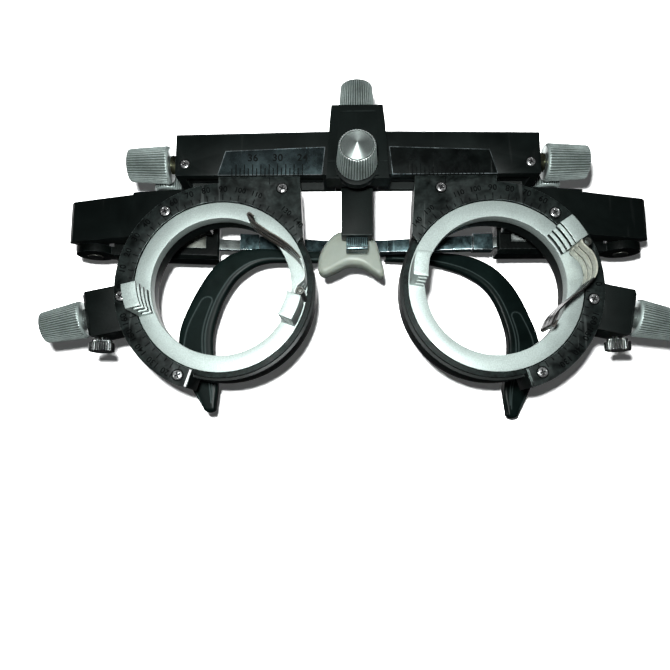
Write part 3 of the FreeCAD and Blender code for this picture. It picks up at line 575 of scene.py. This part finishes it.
def front_xf(x, y, z, roll=0.0):
    """Puts a mesh drawn in XY (facing +Z) onto a plane facing -Y at (x, y, z), turned by roll."""
    return Matrix.Translation(Vector((x, y, z)) * MM) @ Matrix.Rotation(-roll, 4, "Y") @ Matrix.Rotation(math.radians(90), 4, "X")


# ---------------------------------------------------------------- bridge
BODY2 = [M["body"], M["body_edge"]]


def flatter_top(bm):
    for v in bm.verts:
        x, z = abs(v.co.x - OFF.x) / MM, (v.co.z - OFF.z) / MM
        if z > 35.5 and x > 10.0:
            v.co.z += 1.25 * MM * (x - 10.0) / 34.0


refine("bridge_housing", BODY2, 0.28, paint=flatter_top)
refine("nose_block", BODY2, 0.3)
refine("nose_carrier", BODY2, 0.25)
refine("nose_bar", [M["nose_bar"], M["body_edge"]], 0.22)
screw_mesh("bridge_screw_heads", "bridge_screws", "bridge", [(-41.6, 29.8), (41.6, 29.8)], -1.0, 1.05)
for s in "LR":
    refine("guide_rail_" + s, [M["rail"], M["rail"]], 0.2)
    refine("temple_bracket_" + s, BODY2, 0.35)
    refine("pd_nut_" + s, [M["brass"]], 0.1)

# light lines on the centre block: top edge of the panel and the two short steps beside the knob
merge("block_lines", [bar_mesh(-4.15, 4.15, 40.42, 40.56, -6.27, -6.15), bar_mesh(-7.0, -4.9, 28.2, 28.34, -5.90, -5.75),
                      bar_mesh(4.95, 7.0, 28.2, 28.34, -5.90, -5.75)], [M["body_edge"]], "bridge")

PLATE = [(7.8, 33.9), (31.8, 33.0), (33.6, 26.95), (8.5, 26.95)]
for s, k in (("L", -1), ("R", 1)):
    # the right plate takes a darker copy of the scale plate material: painted shade
    flat("scale_plate_" + s, [[(k * x, z) for x, z in PLATE]], -1.15, -0.7, 0.09, [M["pd_plate"] if k < 0 else M["pd_plate_dark"]], "bridge",
         ("pd_scale_plate_" + s,))
    marks = []
    yf = -1.165
    for v in range(24, 42):
        x = k * (v - 10.8)
        h = 2.45 if v % 2 == 0 else 1.5
        marks.append(bar_mesh(x - 0.13, x + 0.13, 26.84, 27.15 + h, yf - 0.03, yf + 0.05))
    for v in (24, 30, 36):
        marks.append(digits(str(v), 2.5, front_xf(k * (v - 10.8), yf, 31.2), 0.05))
    # painted shadow ring round each bar screw, in the ink colour
    marks.append(ring_mesh(k * 41.6, 29.8, 1.04, 1.32, -1.03, -0.98))
    merge("scale_marks_" + s, marks, [M["ink"]], "bridge")
    # bright worn rim round the plate
    rim = []
    pts = [(k * x, z) for x, z in PLATE]
    for a, b in zip(pts, pts[1:] + pts[:1]):
        va, vb = Vector((a[0], 0, a[1])), Vector((b[0], 0, b[1]))
        dd = (vb - va)
        w = 0.075
        ang = math.atan2(dd.z, dd.x)
        mb = bar_mesh(0, dd.length, -w, w, -0.03, 0.05)
        mb.transform(Matrix.Translation((va + Vector((0, -1.15, 0))) * MM) @ Matrix.Rotation(-ang, 4, "Y"))
        rim.append(mb)
    merge("scale_rim_" + s, rim, [M["steel_edge"]], "bridge")

# ---------------------------------------------------------------- carriages
for s, k in (("L", -1), ("R", 1)):
    cb = "carriage_" + s
    hub = Vector((k * HALF_PD, 0, 0)) * MM + OFF
    refine("lens_housing_" + s, BODY2, 0.22, split=hub)
    refine("axis_block_" + s, BODY2, 0.35)
    refine("axis_scale_plate_" + s, [M["plate"], M["plate_edge"]], 0.07, 2, split=hub)
    cx = k * HALF_PD
    HOLES = {"R": [(14.6, 17.4), (-12.3, 23.9), (9.8, -20.7), (22.5, -3.6)], "L": [(13.8, 18.3), (-14.3, 23.9), (9.4, -21.2), (23.6, -2.5)]}[s]
    screw_mesh("plate_screw_heads_" + s, "plate_screws_" + s, cb, [(cx + k * x, z) for x, z in HOLES], -0.2, 1.15, 0.5)
    marks = []
    yf = -0.212
    # degree ticks at the inner edge of the plate every 5 degrees, numbers every 10 where the plate is free
    for a in range(-65, 151, 5):
        rad = math.radians(a)
        L = 1.55 if a % 10 == 0 else 0.95
        mb = bar_mesh(0, L, -0.11, 0.11, 0, 0.05)
        aa = rad if k > 0 else math.pi - rad
        mb.transform(Matrix.Translation(Vector((cx, yf, 0)) * MM) @ Matrix.Rotation(-aa, 4, "Y") @ Matrix.Translation(Vector((20.95, 0, 0)) * MM))
        marks.append(mb)
    seats = [math.degrees(math.atan2(z, x)) for x, z in HOLES]
    for a in range(-60, 141, 10):
        if any(abs(a - q) < 6 for q in seats):
            continue
        rad = math.radians(a)
        aa = rad if k > 0 else math.pi - rad
        rr = 23.75
        marks.append(digits(str(int(a) % 180), 2.05 if 0 <= a < 100 or a < 0 else 1.8, front_xf(cx + rr * math.cos(aa), yf, rr * math.sin(aa), aa - math.pi / 2), 0.03))
    # painted shadow ring round each plate screw, in the ink colour
    for x, z in HOLES:
        marks.append(ring_mesh(cx + k * x, z, 1.13, 1.42, yf, yf + 0.05))
    # index mark of the pupil distance
    marks.append(bar_mesh(cx - k * 11.2 - 0.1, cx - k * 11.2 + 0.1, 24.9, 26.6, yf, yf + 0.05))
    merge("axis_marks_" + s, marks, [M["ink2"]], cb)
    # bright strip at the lower end of the plate, much lighter on the left plate than on the right
    ea = math.radians(-72.2)
    mb = bar_mesh(0, 4.1, -0.24, 0.24, 0, 0.05)
    aa = ea if k > 0 else math.pi - ea
    mb.transform(Matrix.Translation(Vector((cx, yf, 0)) * MM) @ Matrix.Rotation(-aa, 4, "Y") @ Matrix.Translation(Vector((20.95, 0, 0)) * MM))
    merge("plate_end_" + s, [mb], [M["plate_end"] if k < 0 else M["plate_edge"]], cb)
    thumb("lock_thumb_" + s, "lock_screw_" + s, k * 61.8, 5.1, -12.2, -15.1, 3.0, "lock_" + s)
    lathe_knob("axis_knob_knurl_" + s, (cx + k * 34.4 * math.cos(AX), 5.1, 34.4 * math.sin(AX)), (k * math.cos(AX), 0, math.sin(AX)), 4.6, 3.8, 11.0,
               "axis_drive_" + s, ("axis_knob_" + s,), [M["knob"], M["knob_face"]], face=0.9, phase=0.05, flutes=44, depth=0.25)
    refine("axis_pinion_shaft_" + s, [M["steel_grey"], M["steel_edge"]], 0.05, 1)
    lathe_knob("pd_knob_knurl_" + s, (k * 46.6, 5.2, 32.3), (k, 0, 0), 4.7, 4.1, 11.4, "pd_drive_" + s, ("pd_knob_" + s,),
               [M["knob"], M["knob_face"]], face=1.0, flutes=40, depth=0.34)
    refine("pd_lead_screw_" + s, [M["bronze"], M["steel_edge"]], 0.1, 1)

lean = math.radians(7.5)
kd = Vector((0, -math.cos(lean), math.sin(lean)))
kb = Vector((-0.2, -7.0, 26.6))
lathe_knob("depth_knob_knurl", kb + kd * 0.9, kd, 4.72, 4.2, 9.0, "depth_drive", ("nose_depth_knob",), [M["knob"], M["knob_face"]],
           face=1.35, stem=(1.5, 5.4), flutes=42, depth=0.26)
lathe_knob("height_knob_knurl", (0, 6.0, 44.3), (0, 0, 1), 4.65, 4.1, 10.2, "height_drive", ("nose_height_knob",),
           [M["knob"], M["knob_face"]], face=1.0, stem=(1.3, 24.0), flutes=44, depth=0.24)

# ---------------------------------------------------------------- lens cells
for s in "LR":
    kk = -1 if s == "L" else 1
    hub = Vector((kk * HALF_PD, 0, 0)) * MM + OFF

    # faces beyond r 20.44 mm take the dark crown colour: the crown flange is dark itself, and the silver ring's outer
    # side wall gets painted shade from it; faces in front of y -9 mm take the pin colour
    def dark_crown(bm, hub=hub):
        for f in bm.faces:
            c = f.calc_center_median()
            if math.hypot(c.x - hub.x, c.z - hub.z) > 20.44 * MM:
                f.material_index = 2
            if c.y - OFF.y < -9.0 * MM:
                f.material_index = 3

    # inward-facing faces of the post's lands take the dark gap colour: painted shade in the slots
    def dark_lands(bm, hub=hub):
        for f in bm.faces:
            c = f.calc_center_median()
            rad = Vector((c.x - hub.x, 0, c.z - hub.z))
            if (rad.length < 17.25 * MM or 18.8 * MM < rad.length < 19.5 * MM) and f.normal.dot(rad.normalized()) < -0.6:
                f.material_index = 2

    refine("lens_cell_ring_" + s, [M["silver"], M["silver_edge"], M["crown"], M["pin_end"]], 0.10, 2, split=hub, paint=dark_crown)
    refine("lens_post_a_" + s, [M["silver"], M["silver"], M["slot"]], 0.10, 2, paint=dark_lands)
    refine("lens_post_b_" + s, [M["silver"], M["silver"], M["slot"]], 0.10, 2, paint=dark_lands)


def dense(pts, m):
    N = len(pts)
    P = [Vector(p) for p in pts]
    P = [2 * P[0] - P[1]] + P + [2 * P[-1] - P[-2]]
    out = []
    for i in range(1, N):
        p0, p1, p2, p3 = P[i - 1], P[i], P[i + 1], P[i + 2]
        for j in range(m):
            t = j / m
            out.append(0.5 * ((2 * p1) + (-p0 + p2) * t + (2 * p0 - 5 * p1 + 4 * p2 - p3) * t * t + (-p0 + 3 * p1 - 3 * p2 + p3) * t ** 3))
    out.append(P[-2])
    return out


def spring_mesh(s, deg, turn, table_r, dark):
    """Three spring fingers cut from one strip: joined at the root, bowed outwards, folded back at the tip."""
    a0 = deg + turn * 11.6
    rb = 19.75
    cx = HALF_PD if s == "R" else -HALF_PD
    bm = bmesh.new()
    path = []
    ctl = []
    for da, r in [(-2.4, 18.75), (0.0, 18.65), (3.8, 19.15)] + [(1.0 + 7.0 * i, r) for i, r in enumerate(table_r) if i > 0]:
        a = math.radians(a0 + turn * da)
        ctl.append((cx + r * math.cos(a), r * math.sin(a)))
    for p in dense(ctl, 8):
        path.append(Vector((p.x, 0, p.y)))
    n = len(path)
    # folded end
    tdir = (path[-1] - path[-2]).normalized()
    side = Vector((cx, 0, 0)) - path[-1]
    nn = Vector((-tdir.z, 0, tdir.x))
    if nn.dot(side) < 0:
        nn = -nn
    end = path[-1].copy()
    for j in range(1, 13):
        th = math.pi * 1.05 * j / 12
        path.append(end + tdir * (0.40 * math.sin(th)) - nn * (0.40 * (1 - math.cos(th))))
    back = (path[-1] - path[-2]).normalized()
    for j in range(1, 4):
        path.append(path[n + 11] + back * (0.36 * j) - nn * (0.012 * j * j))
    th = 0.17

    def ribbon(y0, y1, i0, i1, th=th, mat=None):
        prev = None
        for i in range(i0, i1 + 1):
            p = path[i]
            q = (path[min(len(path) - 1, i + 1)] - path[max(0, i - 1)]).normalized()
            m = Vector((-q.z, 0, q.x))
            e = 0.12
            sec = []
            for dy, dm in ((y0 + e, -th), (y1 - e, -th), (y1 - 0.03, -th * 0.5), (y1 - 0.03, th * 0.5), (y1 - e, th), (y0 + e, th), (y0 + 0.03, th * 0.5), (y0 + 0.03, -th * 0.5)):
                sec.append(bm.verts.new((p + m * dm + Vector((0, dy, 0))) * MM))
            if prev:
                for a in range(8):
                    c = (a + 1) % 8
                    fc = bm.faces.new((prev[a], prev[c], sec[c], sec[a]))
                    # faces from index dark on take the second material: painted shade along the rest of each finger;
                    # the folded end takes the tan colour
                    fc.material_index = mat if mat is not None else (0 if i < dark else (1 if i < n + 4 else 2))
            else:
                bm.faces.new(sec)
            prev = sec
        bm.faces.new(list(reversed(prev)))

    last = len(path) - 1
    for y0, y1 in ((-3.75, -1.35), (-6.75, -4.35), (-9.75, -7.35)):
        ribbon(y0, y1, 0, last)
    # strips between the fingers: solid at root and tip, and between them a thin sheet in the dark gap colour: painted
    # shade between the fingers
    for y0, y1 in ((-4.4, -3.7), (-7.4, -6.7)):
        ribbon(y0, y1, 0, 5)
        ribbon(y0, y1, n - 4, last)
        ribbon(y0, y1, 6, n - 5, 0.07, 4)
    # rolled eye round the pin
    bx, bz = cx + rb * math.cos(math.radians(a0)), rb * math.sin(math.radians(a0))
    m = 32
    rows = []
    for y, r in ((-9.6, 0.62), (-9.6, 0.85), (-9.5, 0.95), (-0.3, 0.95), (-0.2, 0.85), (-0.2, 0.62)):
        rows.append([bm.verts.new(Vector((bx + r * math.cos(2 * math.pi * i / m), y, bz + r * math.sin(2 * math.pi * i / m))) * MM) for i in range(m)])
    rows.append(rows[0])
    for a in range(len(rows) - 1):
        for i in range(m):
            j = (i + 1) % m
            fc = bm.faces.new((rows[a][i], rows[a][j], rows[a + 1][j], rows[a + 1][i]))
            fc.material_index = 3
    bmesh.ops.recalc_face_normals(bm, faces=bm.faces)
    return from_bm("leaf_spring_" + s, bm, [M["spring"] if s == "R" else M["spring_pale"], M["spring_dark"] if s == "R" else M["spring_tan"], M["spring_tan"], M["pin_end"], M["slot"]],
                   "spring_" + s, ("lens_spring_" + s,), 40.0)


spring_mesh("R", 33.8, -1, (19.95, 19.85, 20.2, 19.75, 18.2, 16.5, 15.15, 14.3, 13.85, 13.9, 14.5), 44)
spring_mesh("L", 338.6, 1, (19.95, 20.3, 20.3, 19.8, 18.8, 17.7, 16.7, 15.9, 15.5, 15.4, 15.8), 40)

# ---------------------------------------------------------------- nose rest
hb = []
bm = bmesh.new()


def add_box(bm, x0, x1, y0, y1, z0, z1, bev=0.0, mat=0):
    r = bmesh.ops.create_cube(bm, size=1.0)
    for vt in r["verts"]:
        vt.co = Vector((x0 + (x1 - x0) * (vt.co.x + 0.5), y0 + (y1 - y0) * (vt.co.y + 0.5), z0 + (z1 - z0) * (vt.co.z + 0.5))) * MM
    es = list({e for vt in r["verts"] for e in vt.link_edges})
    fs = list({f for vt in r["verts"] for f in vt.link_faces})
    for f in fs:
        f.material_index = mat
    if bev:
        bmesh.ops.bevel(bm, geom=es, offset=bev * MM, segments=2, profile=0.6, affect="EDGES", material=-1)


add_box(bm, -2.7, 2.7, 8.0, 10.2, 10.4, 18.6, 0.2)
add_box(bm, -2.7, 2.7, 5.4, 8.05, 10.4, 13.35, 0.2)
for i in range(11):
    x = -2.3 + i * 0.46
    add_box(bm, x - 0.13, x + 0.13, 5.12, 5.5, 11.35, 13.2, 0.06)
    # thin dark strip behind each gap between the ribs, in the ink colour: painted shade
    add_box(bm, x + 0.14, x + 0.32, 5.36, 5.45, 11.35, 13.2, 0.0, 2)
add_box(bm, -2.0, 2.0, 10.2, 12.6, 12.0, 16.4, 0.15)
add_box(bm, -2.55, 2.55, 5.2, 5.5, 10.55, 10.95, 0.1, 1)
from_bm("ribbed_holder", bm, [M["holder"], M["steel_edge"], M["ink"]], "height_slide", ("pad_holder",), 40.0)


def pad_mesh():
    """Saddle pad: rounded body with two soft feet and an arch between them."""
    outer = [(-1.4, 17.4), (-4.9, 17.2), (-7.4, 15.1), (-9.3, 12.0), (-10.1, 8.6), (-9.7, 6.5), (-8.1, 5.9), (-5.1, 7.1), (-2.5, 8.4), (0.3, 8.4),
             (2.6, 7.6), (4.8, 6.1), (6.4, 5.3), (7.1, 6.4), (6.4, 9.5), (5.5, 13.2), (4.2, 15.8), (1.6, 17.2)]
    # densify with a closed smooth curve
    N = len(outer)
    pts = []
    for i in range(N):
        p0, p1, p2, p3 = (Vector(outer[(i + j - 1) % N]) for j in range(4))
        for j in range(6):
            t = j / 6
            pts.append(0.5 * ((2 * p1) + (-p0 + p2) * t + (2 * p0 - 5 * p1 + 4 * p2 - p3) * t * t + (-p0 + 3 * p1 - 3 * p2 + p3) * t ** 3))
    n = len(pts)
    bm = bmesh.new()
    rows = []
    prof = [(12.35, 0.55), (12.38, 0.72), (12.6, 0.84), (13.0, 0.93), (13.7, 0.985), (14.6, 1.0), (15.8, 1.0), (16.9, 0.99), (17.6, 0.95), (18.0, 0.88), (18.25, 0.76), (18.35, 0.6)]
    for y, sc in prof:
        row = []
        for i, p in enumerate(pts):
            # shrink towards a skeleton line instead of a point, so that the feet stay full
            sx = max(-5.4, min(5.4, (p.x + 1.5) * 0.8))
            sk = Vector((sx - 1.5, 13.2 - 0.14 * sx * sx))
            q = sk + (p - sk) * sc
            bulge = 0.0
            row.append(bm.verts.new(Vector((q.x, y + bulge, q.y)) * MM))
        rows.append(row)
    for a in range(len(rows) - 1):
        for i in range(n):
            j = (i + 1) % n
            bm.faces.new((rows[a][i], rows[a][j], rows[a + 1][j], rows[a + 1][i]))
    for row, rev in ((rows[0], False), (rows[-1], True)):
        r = bmesh.ops.holes_fill(bm, edges=[e for e in bm.edges if e.is_boundary and e.verts[0] in row and e.verts[1] in row], sides=0)
        bmesh.ops.triangulate(bm, faces=r["faces"])
    bmesh.ops.recalc_face_normals(bm, faces=bm.faces)
    return from_bm("soft_saddle_pad", bm, [M["silicone"]], "height_slide", ("nose_pad",), 60.0)


pad_mesh()

# ---------------------------------------------------------------- temples
HX, HY = 72.0, 24.0
REST_L = Matrix.Translation(Vector((-HX, HY, 0)) * MM) @ Matrix.Rotation(FOLD_L, 4, "Z") @ Matrix.Translation(Vector((HX, -HY, 0)) * MM)
for s, k in (("L", -1), ("R", 1)):
    refine("tilt_block_" + s, BODY2, 0.4)
    refine("hinge_pin_" + s, [M["rail"], M["pin_end"]], 0.2)
    refine("temple_box_" + s, [M["temple"], M["temple_edge"]], 0.3)
    refine("temple_insert_" + s, [M["insert_" + s], M["insert_edge"]], 0.10)
    refine("slide_bar_" + s, [M["steel_grey"], M["steel_edge"]], 0.18)
    refine("sleeve_" + s, [M["steel"], M["steel_edge"]], 0.22)
    lathe_knob("tilt_knob_knurl_" + s, (k * 49.8, 14.6, 28.8), (0, 0, 1), 3.5, 3.2, 7.9, "tilt_drive_" + s, ("tilt_knob_" + s,),
               [M["knob"], M["knob_face"]], flutes=30, depth=0.2, face=0.7, stem=(1.2, 3.2))

HOOK_R = ([(76.0, 14.9), (84.0, 14.8), (92.0, 15.3), (99.0, 15.6), (105.6, 14.4), (110.2, 11.2), (113.5, 6.9), (116.9, 0.5), (119.6, -7.0), (119.4, -15.0), (116.4, -21.6), (112.6, -27.8)],
          [(76.0, 12.0), (84.0, 11.9), (90.8, 12.0), (96.0, 11.9), (100.0, 10.7), (104.1, 7.7), (106.6, 4.2), (108.6, 0.0), (110.4, -7.0), (110.2, -14.0), (108.9, -21.0), (109.4, -27.6)])
HOOK_L = ([(81.5, 18.9), (90.0, 18.9), (98.0, 18.7), (105.7, 18.1), (112.4, 16.0), (117.6, 12.2), (121.6, 7.2), (125.1, 0.2), (127.6, -7.0), (127.4, -14.6), (124.2, -21.7), (120.2, -28.9)],
          [(81.5, 15.7), (88.0, 15.6), (94.0, 15.3), (99.8, 14.2), (105.5, 12.4), (110.8, 9.3), (114.3, 5.0), (116.7, -0.6), (118.1, -7.0), (117.6, -14.6), (116.2, -21.6), (117.0, -28.6)])


def hook_mesh(s, hook, dimple):
    """Moulded ear hook: rounded strap with two raised lines along its face, a shallow round mark at the bend, rounded tip."""
    o, q = dense(hook[0], 26), dense(hook[1], 26)
    n = len(o)
    yc = HY - 0.2
    bm = bmesh.new()
    us = {0.0, 1.0}
    for i in range(1, 60):
        us.add(round(0.4 * (i / 60) + 0.6 * (0.5 - 0.5 * math.cos(math.pi * i / 60)), 4))
    us = sorted(us)
    back = [0.5 + 0.5 * math.cos(math.pi * i / 14) for i in range(1, 14)]
    cav = bm.verts.layers.float.new("cav")
    sec = [(u, -1) for u in us] + [(u, 1) for u in back]
    m = len(sec)
    path = [(o[i], q[i], 1.0) for i in range(n)]
    # fine moulding lines: one along the inner side, one U-shaped that starts in a small arch at the bend
    dv = Vector(dimple)
    i0 = min(range(n), key=lambda i: ((o[i] + q[i]) / 2 - dv).length)
    run = 0.0
    while run < 6.6:
        run += ((o[i0 + 1] + q[i0 + 1]) / 2 - (o[i0] + q[i0]) / 2).length
        i0 += 1
    pts = []
    for i in range(int(n * 0.03), int(n * 0.97)):
        pts.append(o[i] + (q[i] - o[i]) * 0.78)
    wd = (q[i0] - o[i0])
    uo, ui = 0.5 - 1.5 / wd.length, 0.5 + 1.5 / wd.length
    for i in range(i0, int(n * 0.985)):
        g = (i - i0) / (n * 0.985 - i0)
        pts.append(o[i] + (q[i] - o[i]) * (uo + (0.10 - uo) * min(1.0, g * 1.6)))
        pts.append(o[i] + (q[i] - o[i]) * (ui + (0.70 - ui) * min(1.0, g * 1.6)))
    ctr = (o[i0] + q[i0]) / 2
    back_dir = ((o[i0 - 2] + q[i0 - 2]) / 2 - ctr).normalized()
    cross = wd.normalized()
    for j in range(0, 25):
        a = math.pi * j / 24
        pts.append(ctr + cross * (1.5 * math.cos(a)) + back_dir * (1.5 * math.sin(a)))
    tree = KDTree(len(pts))
    for j, pt in enumerate(pts):
        tree.insert((pt.x, pt.y, 0.0), j)
    tree.balance()
    do = (o[-1] - o[-3]).normalized()
    dq = (q[-1] - q[-3]).normalized()
    dt = (do + dq).normalized()
    w = (o[-1] - q[-1]).length
    for j in range(1, 13):
        a = math.pi / 2 * j / 12
        c = (o[-1] + q[-1]) / 2 + dt * (w * 0.40 * math.sin(a))
        hw = (o[-1] - q[-1]) / 2 * max(0.04, math.cos(a))
        path.append((c + hw, c - hw, max(0.12, math.cos(a) ** 0.7)))
    prev = None
    for idx, (po, pq, th) in enumerate(path):
        f = min(1.0, idx / (n - 1))
        half = (1.4 + 0.35 * min(1.0, f * 4.0)) * th
        amt = min(1.0, max(0.0, (f - 0.02) * 12.0)) * min(1.0, max(0.0, (0.90 - f) * 10.0))
        ring = []
        for (u, sd) in sec:
            p = po + (pq - po) * u
            v = max(0.0, 1.0 - abs(2 * u - 1) ** 5.0) ** (1 / 5.0)
            y = sd * v * half
            if sd < 0:      # front face, towards the viewer
                y *= 0.93
                dd = tree.find((p.x, p.y, 0.0))[2]
                lit = math.exp(-(dd / 0.15) ** 2)
                y -= 0.05 * lit
            else:
                lit = 0.0
            vt = bm.verts.new(Vector((HX - p.x, yc + y, p.y)) * MM)
            # cav carries the raised lines; the hook material paints them lighter: painted highlight along the lines
            vt[cav] = lit
            ring.append(vt)
        if prev:
            for a in range(m):
                c = (a + 1) % m
                fc = bm.faces.new((prev[a], prev[c], ring[c], ring[a]))
        else:
            bm.faces.new(ring)
        prev = ring
    bm.faces.new(list(reversed(prev)))
    if s == "L":
        bm.transform(Matrix.Scale(-1, 4, (1, 0, 0)))
        bm.transform(REST_L)
    bmesh.ops.recalc_face_normals(bm, faces=bm.faces)
    return from_bm("ear_hook_moulded_" + s, bm, [M["hook"], M["hook_line"]], "temple_slider_" + s, ("ear_hook_" + s,), 70.0)


hook_mesh("R", HOOK_R, (108.6, 6.0))
hook_mesh("L", HOOK_L, (117.5, 5.5))

# ---------------------------------------------------------------- table behind the frame, light, camera
TY = 53.0
me = bpy.data.meshes.new("table")
W = 1.6
me.from_pydata([(-W, TY * MM + OFF.y, -W), (W, TY * MM + OFF.y, -W), (W, TY * MM + OFF.y, W), (-W, TY * MM + OFF.y, W)], [], [(0, 1, 2, 3)])
table = bpy.data.objects.new("table", me)
COL.objects.link(table)
m, t, n, l = nt("pale_table")
out = n.new("ShaderNodeOutputMaterial")
d = n.new("ShaderNodeBsdfDiffuse")
d.inputs["Color"].default_value = (0.78, 0.785, 0.785, 1)
em = n.new("ShaderNodeEmission")
em.inputs["Color"].default_value = (0.985, 1.0, 0.995, 1)
em.inputs["Strength"].default_value = 0.045
# the table stays evenly pale beyond the reach of the flash
g0 = n.new("ShaderNodeNewGeometry")
vl = n.new("ShaderNodeVectorMath")
vl.operation = "LENGTH"
l.new(g0.outputs["Position"], vl.inputs[0])
far = n.new("ShaderNodeMapRange")
far.inputs["From Min"].default_value = 0.12
far.inputs["From Max"].default_value = 0.24
far.inputs["To Min"].default_value = 0.045
far.inputs["To Max"].default_value = 1.0
l.new(vl.outputs["Value"], far.inputs["Value"])
l.new(far.outputs["Result"], em.inputs["Strength"])
tn = n.new("ShaderNodeTexNoise")
tn.inputs["Scale"].default_value = 300.0
ad = n.new("ShaderNodeAddShader")
tb = n.new("ShaderNodeBump")
tb.inputs["Strength"].default_value = 0.1
tb.inputs["Distance"].default_value = 0.0001
l.new(tn.outputs["Fac"], tb.inputs["Height"])
l.new(tb.outputs["Normal"], d.inputs["Normal"])
l.new(d.outputs[0], ad.inputs[0])
l.new(em.outputs[0], ad.inputs[1])
tr = n.new("ShaderNodeBsdfTransparent")
geo = n.new("ShaderNodeNewGeometry")
mx = n.new("ShaderNodeMixShader")
l.new(geo.outputs["Backfacing"], mx.inputs["Fac"])
l.new(ad.outputs[0], mx.inputs[1])
l.new(tr.outputs[0], mx.inputs[2])
l.new(mx.outputs[0], out.inputs[0])
me.materials.append(m)
table.visible_glossy = False
table.visible_diffuse = False
table.visible_shadow = False
table.visible_transmission = True

CAM = Vector((-2.598, -151.041, -35.331)) * MM + OFF
U = Vector((0.00281, -0.15331, 0.98817))
F = Vector((-0.01811, 0.98801, 0.15333))
Rr = F.cross(U).normalized()
cam_data = bpy.data.cameras.new("cam")
cam_data.sensor_width = 36.0
cam_data.lens = 657.0 / 670.0 * 36.0
cam_data.clip_start = 0.005
cam_data.clip_end = 10.0
cam = bpy.data.objects.new("cam", cam_data)
COL.objects.link(cam)
rot = Matrix((Rr, U, -F)).transposed().to_4x4()
cam.matrix_world = Matrix.Translation(CAM) @ rot
bpy.context.scene.camera = cam


def area(name, loc, target, size, power, color=(1, 1, 1), size_y=None, receivers=None, blockers=None):
    ld = bpy.data.lights.new(name, "AREA")
    ld.energy = power
    ld.color = color
    ld.shape = "RECTANGLE" if size_y else "DISK"
    ld.size = size
    if size_y:
        ld.size_y = size_y
    ob = bpy.data.objects.new(name, ld)
    COL.objects.link(ob)
    loc, target = Vector(loc), Vector(target)
    dirv = (target - loc).normalized()
    ob.matrix_world = Matrix.Translation(loc) @ dirv.to_track_quat("-Z", "Y").to_matrix().to_4x4()
    if receivers:
        c = bpy.data.collections.new(name + "_r")
        for r in receivers:
            c.objects.link(r)
        ob.light_linking.receiver_collection = c
    if blockers:
        c = bpy.data.collections.new(name + "_b")
        for r in blockers:
            c.objects.link(r)
        ob.light_linking.blocker_collection = c
    return ob


# the bar lies close over the carriages: its own soft shadow is lost in theirs
casters = [o for o in bpy.data.objects if o.type == "MESH" and o is not table and
           not any(q in o.name for q in ("bridge_housing", "nose_block", "guide_rail", "nose_carrier", "scale_plate"))]
flash = CAM + U * 0.013 - Rr * 0.006 - F * 0.004
area("flash_on_table", flash, Vector((0, 0.05, 0.01)) + OFF, 0.010, 2.6, receivers=[table], blockers=casters)
area("flash", flash, Vector((0, 0.0, 0.01)) + OFF, 0.012, 0.40, color=(0.94, 1.0, 0.985))
area("soft_left", Vector((-0.075, -0.37, 0.20)) + OFF, Vector((-0.01, 0, 0.02)) + OFF, 0.17, 0.022, size_y=0.20)
area("soft_top", Vector((0.05, -0.12, 0.45)) + OFF, OFF, 0.30, 0.06, size_y=0.25)

area("soft_back", Vector((0.10, 0.50, 0.24)) + OFF, OFF, 0.55, 1.6, size_y=0.30)
area("soft_back_left", Vector((-0.42, 0.36, 0.12)) + OFF, OFF, 0.30, 0.8, size_y=0.30)

w = bpy.data.worlds.new("world")
bpy.context.scene.world = w
w.use_nodes = True
wt = w.node_tree
wt.nodes.clear()
wo = wt.nodes.new("ShaderNodeOutputWorld")
lp = wt.nodes.new("ShaderNodeLightPath")
b1 = wt.nodes.new("ShaderNodeBackground")
b1.inputs["Color"].default_value = (1, 1, 1, 1)
b1.inputs["Strength"].default_value = 1.0
b2 = wt.nodes.new("ShaderNodeBackground")
tc = wt.nodes.new("ShaderNodeTexCoord")
sx = wt.nodes.new("ShaderNodeSeparateXYZ")
wt.links.new(tc.outputs["Generated"], sx.inputs[0])
mr = wt.nodes.new("ShaderNodeMapRange")
mr.inputs["From Min"].default_value = -0.6
mr.inputs["From Max"].default_value = 0.9
mr.inputs["To Min"].default_value = 0.012
mr.inputs["To Max"].default_value = 0.05
wt.links.new(sx.outputs["Z"], mr.inputs["Value"])
wt.links.new(mr.outputs["Result"], b2.inputs["Strength"])
b2.inputs["Color"].default_value = (0.93, 0.97, 1.0, 1)
ms = wt.nodes.new("ShaderNodeMixShader")
wt.links.new(lp.outputs["Is Camera Ray"], ms.inputs["Fac"])
wt.links.new(b2.outputs[0], ms.inputs[1])
wt.links.new(b1.outputs[0], ms.inputs[2])
wt.links.new(ms.outputs[0], wo.inputs[0])
bpy.context.scene.view_settings.view_transform = "Standard"
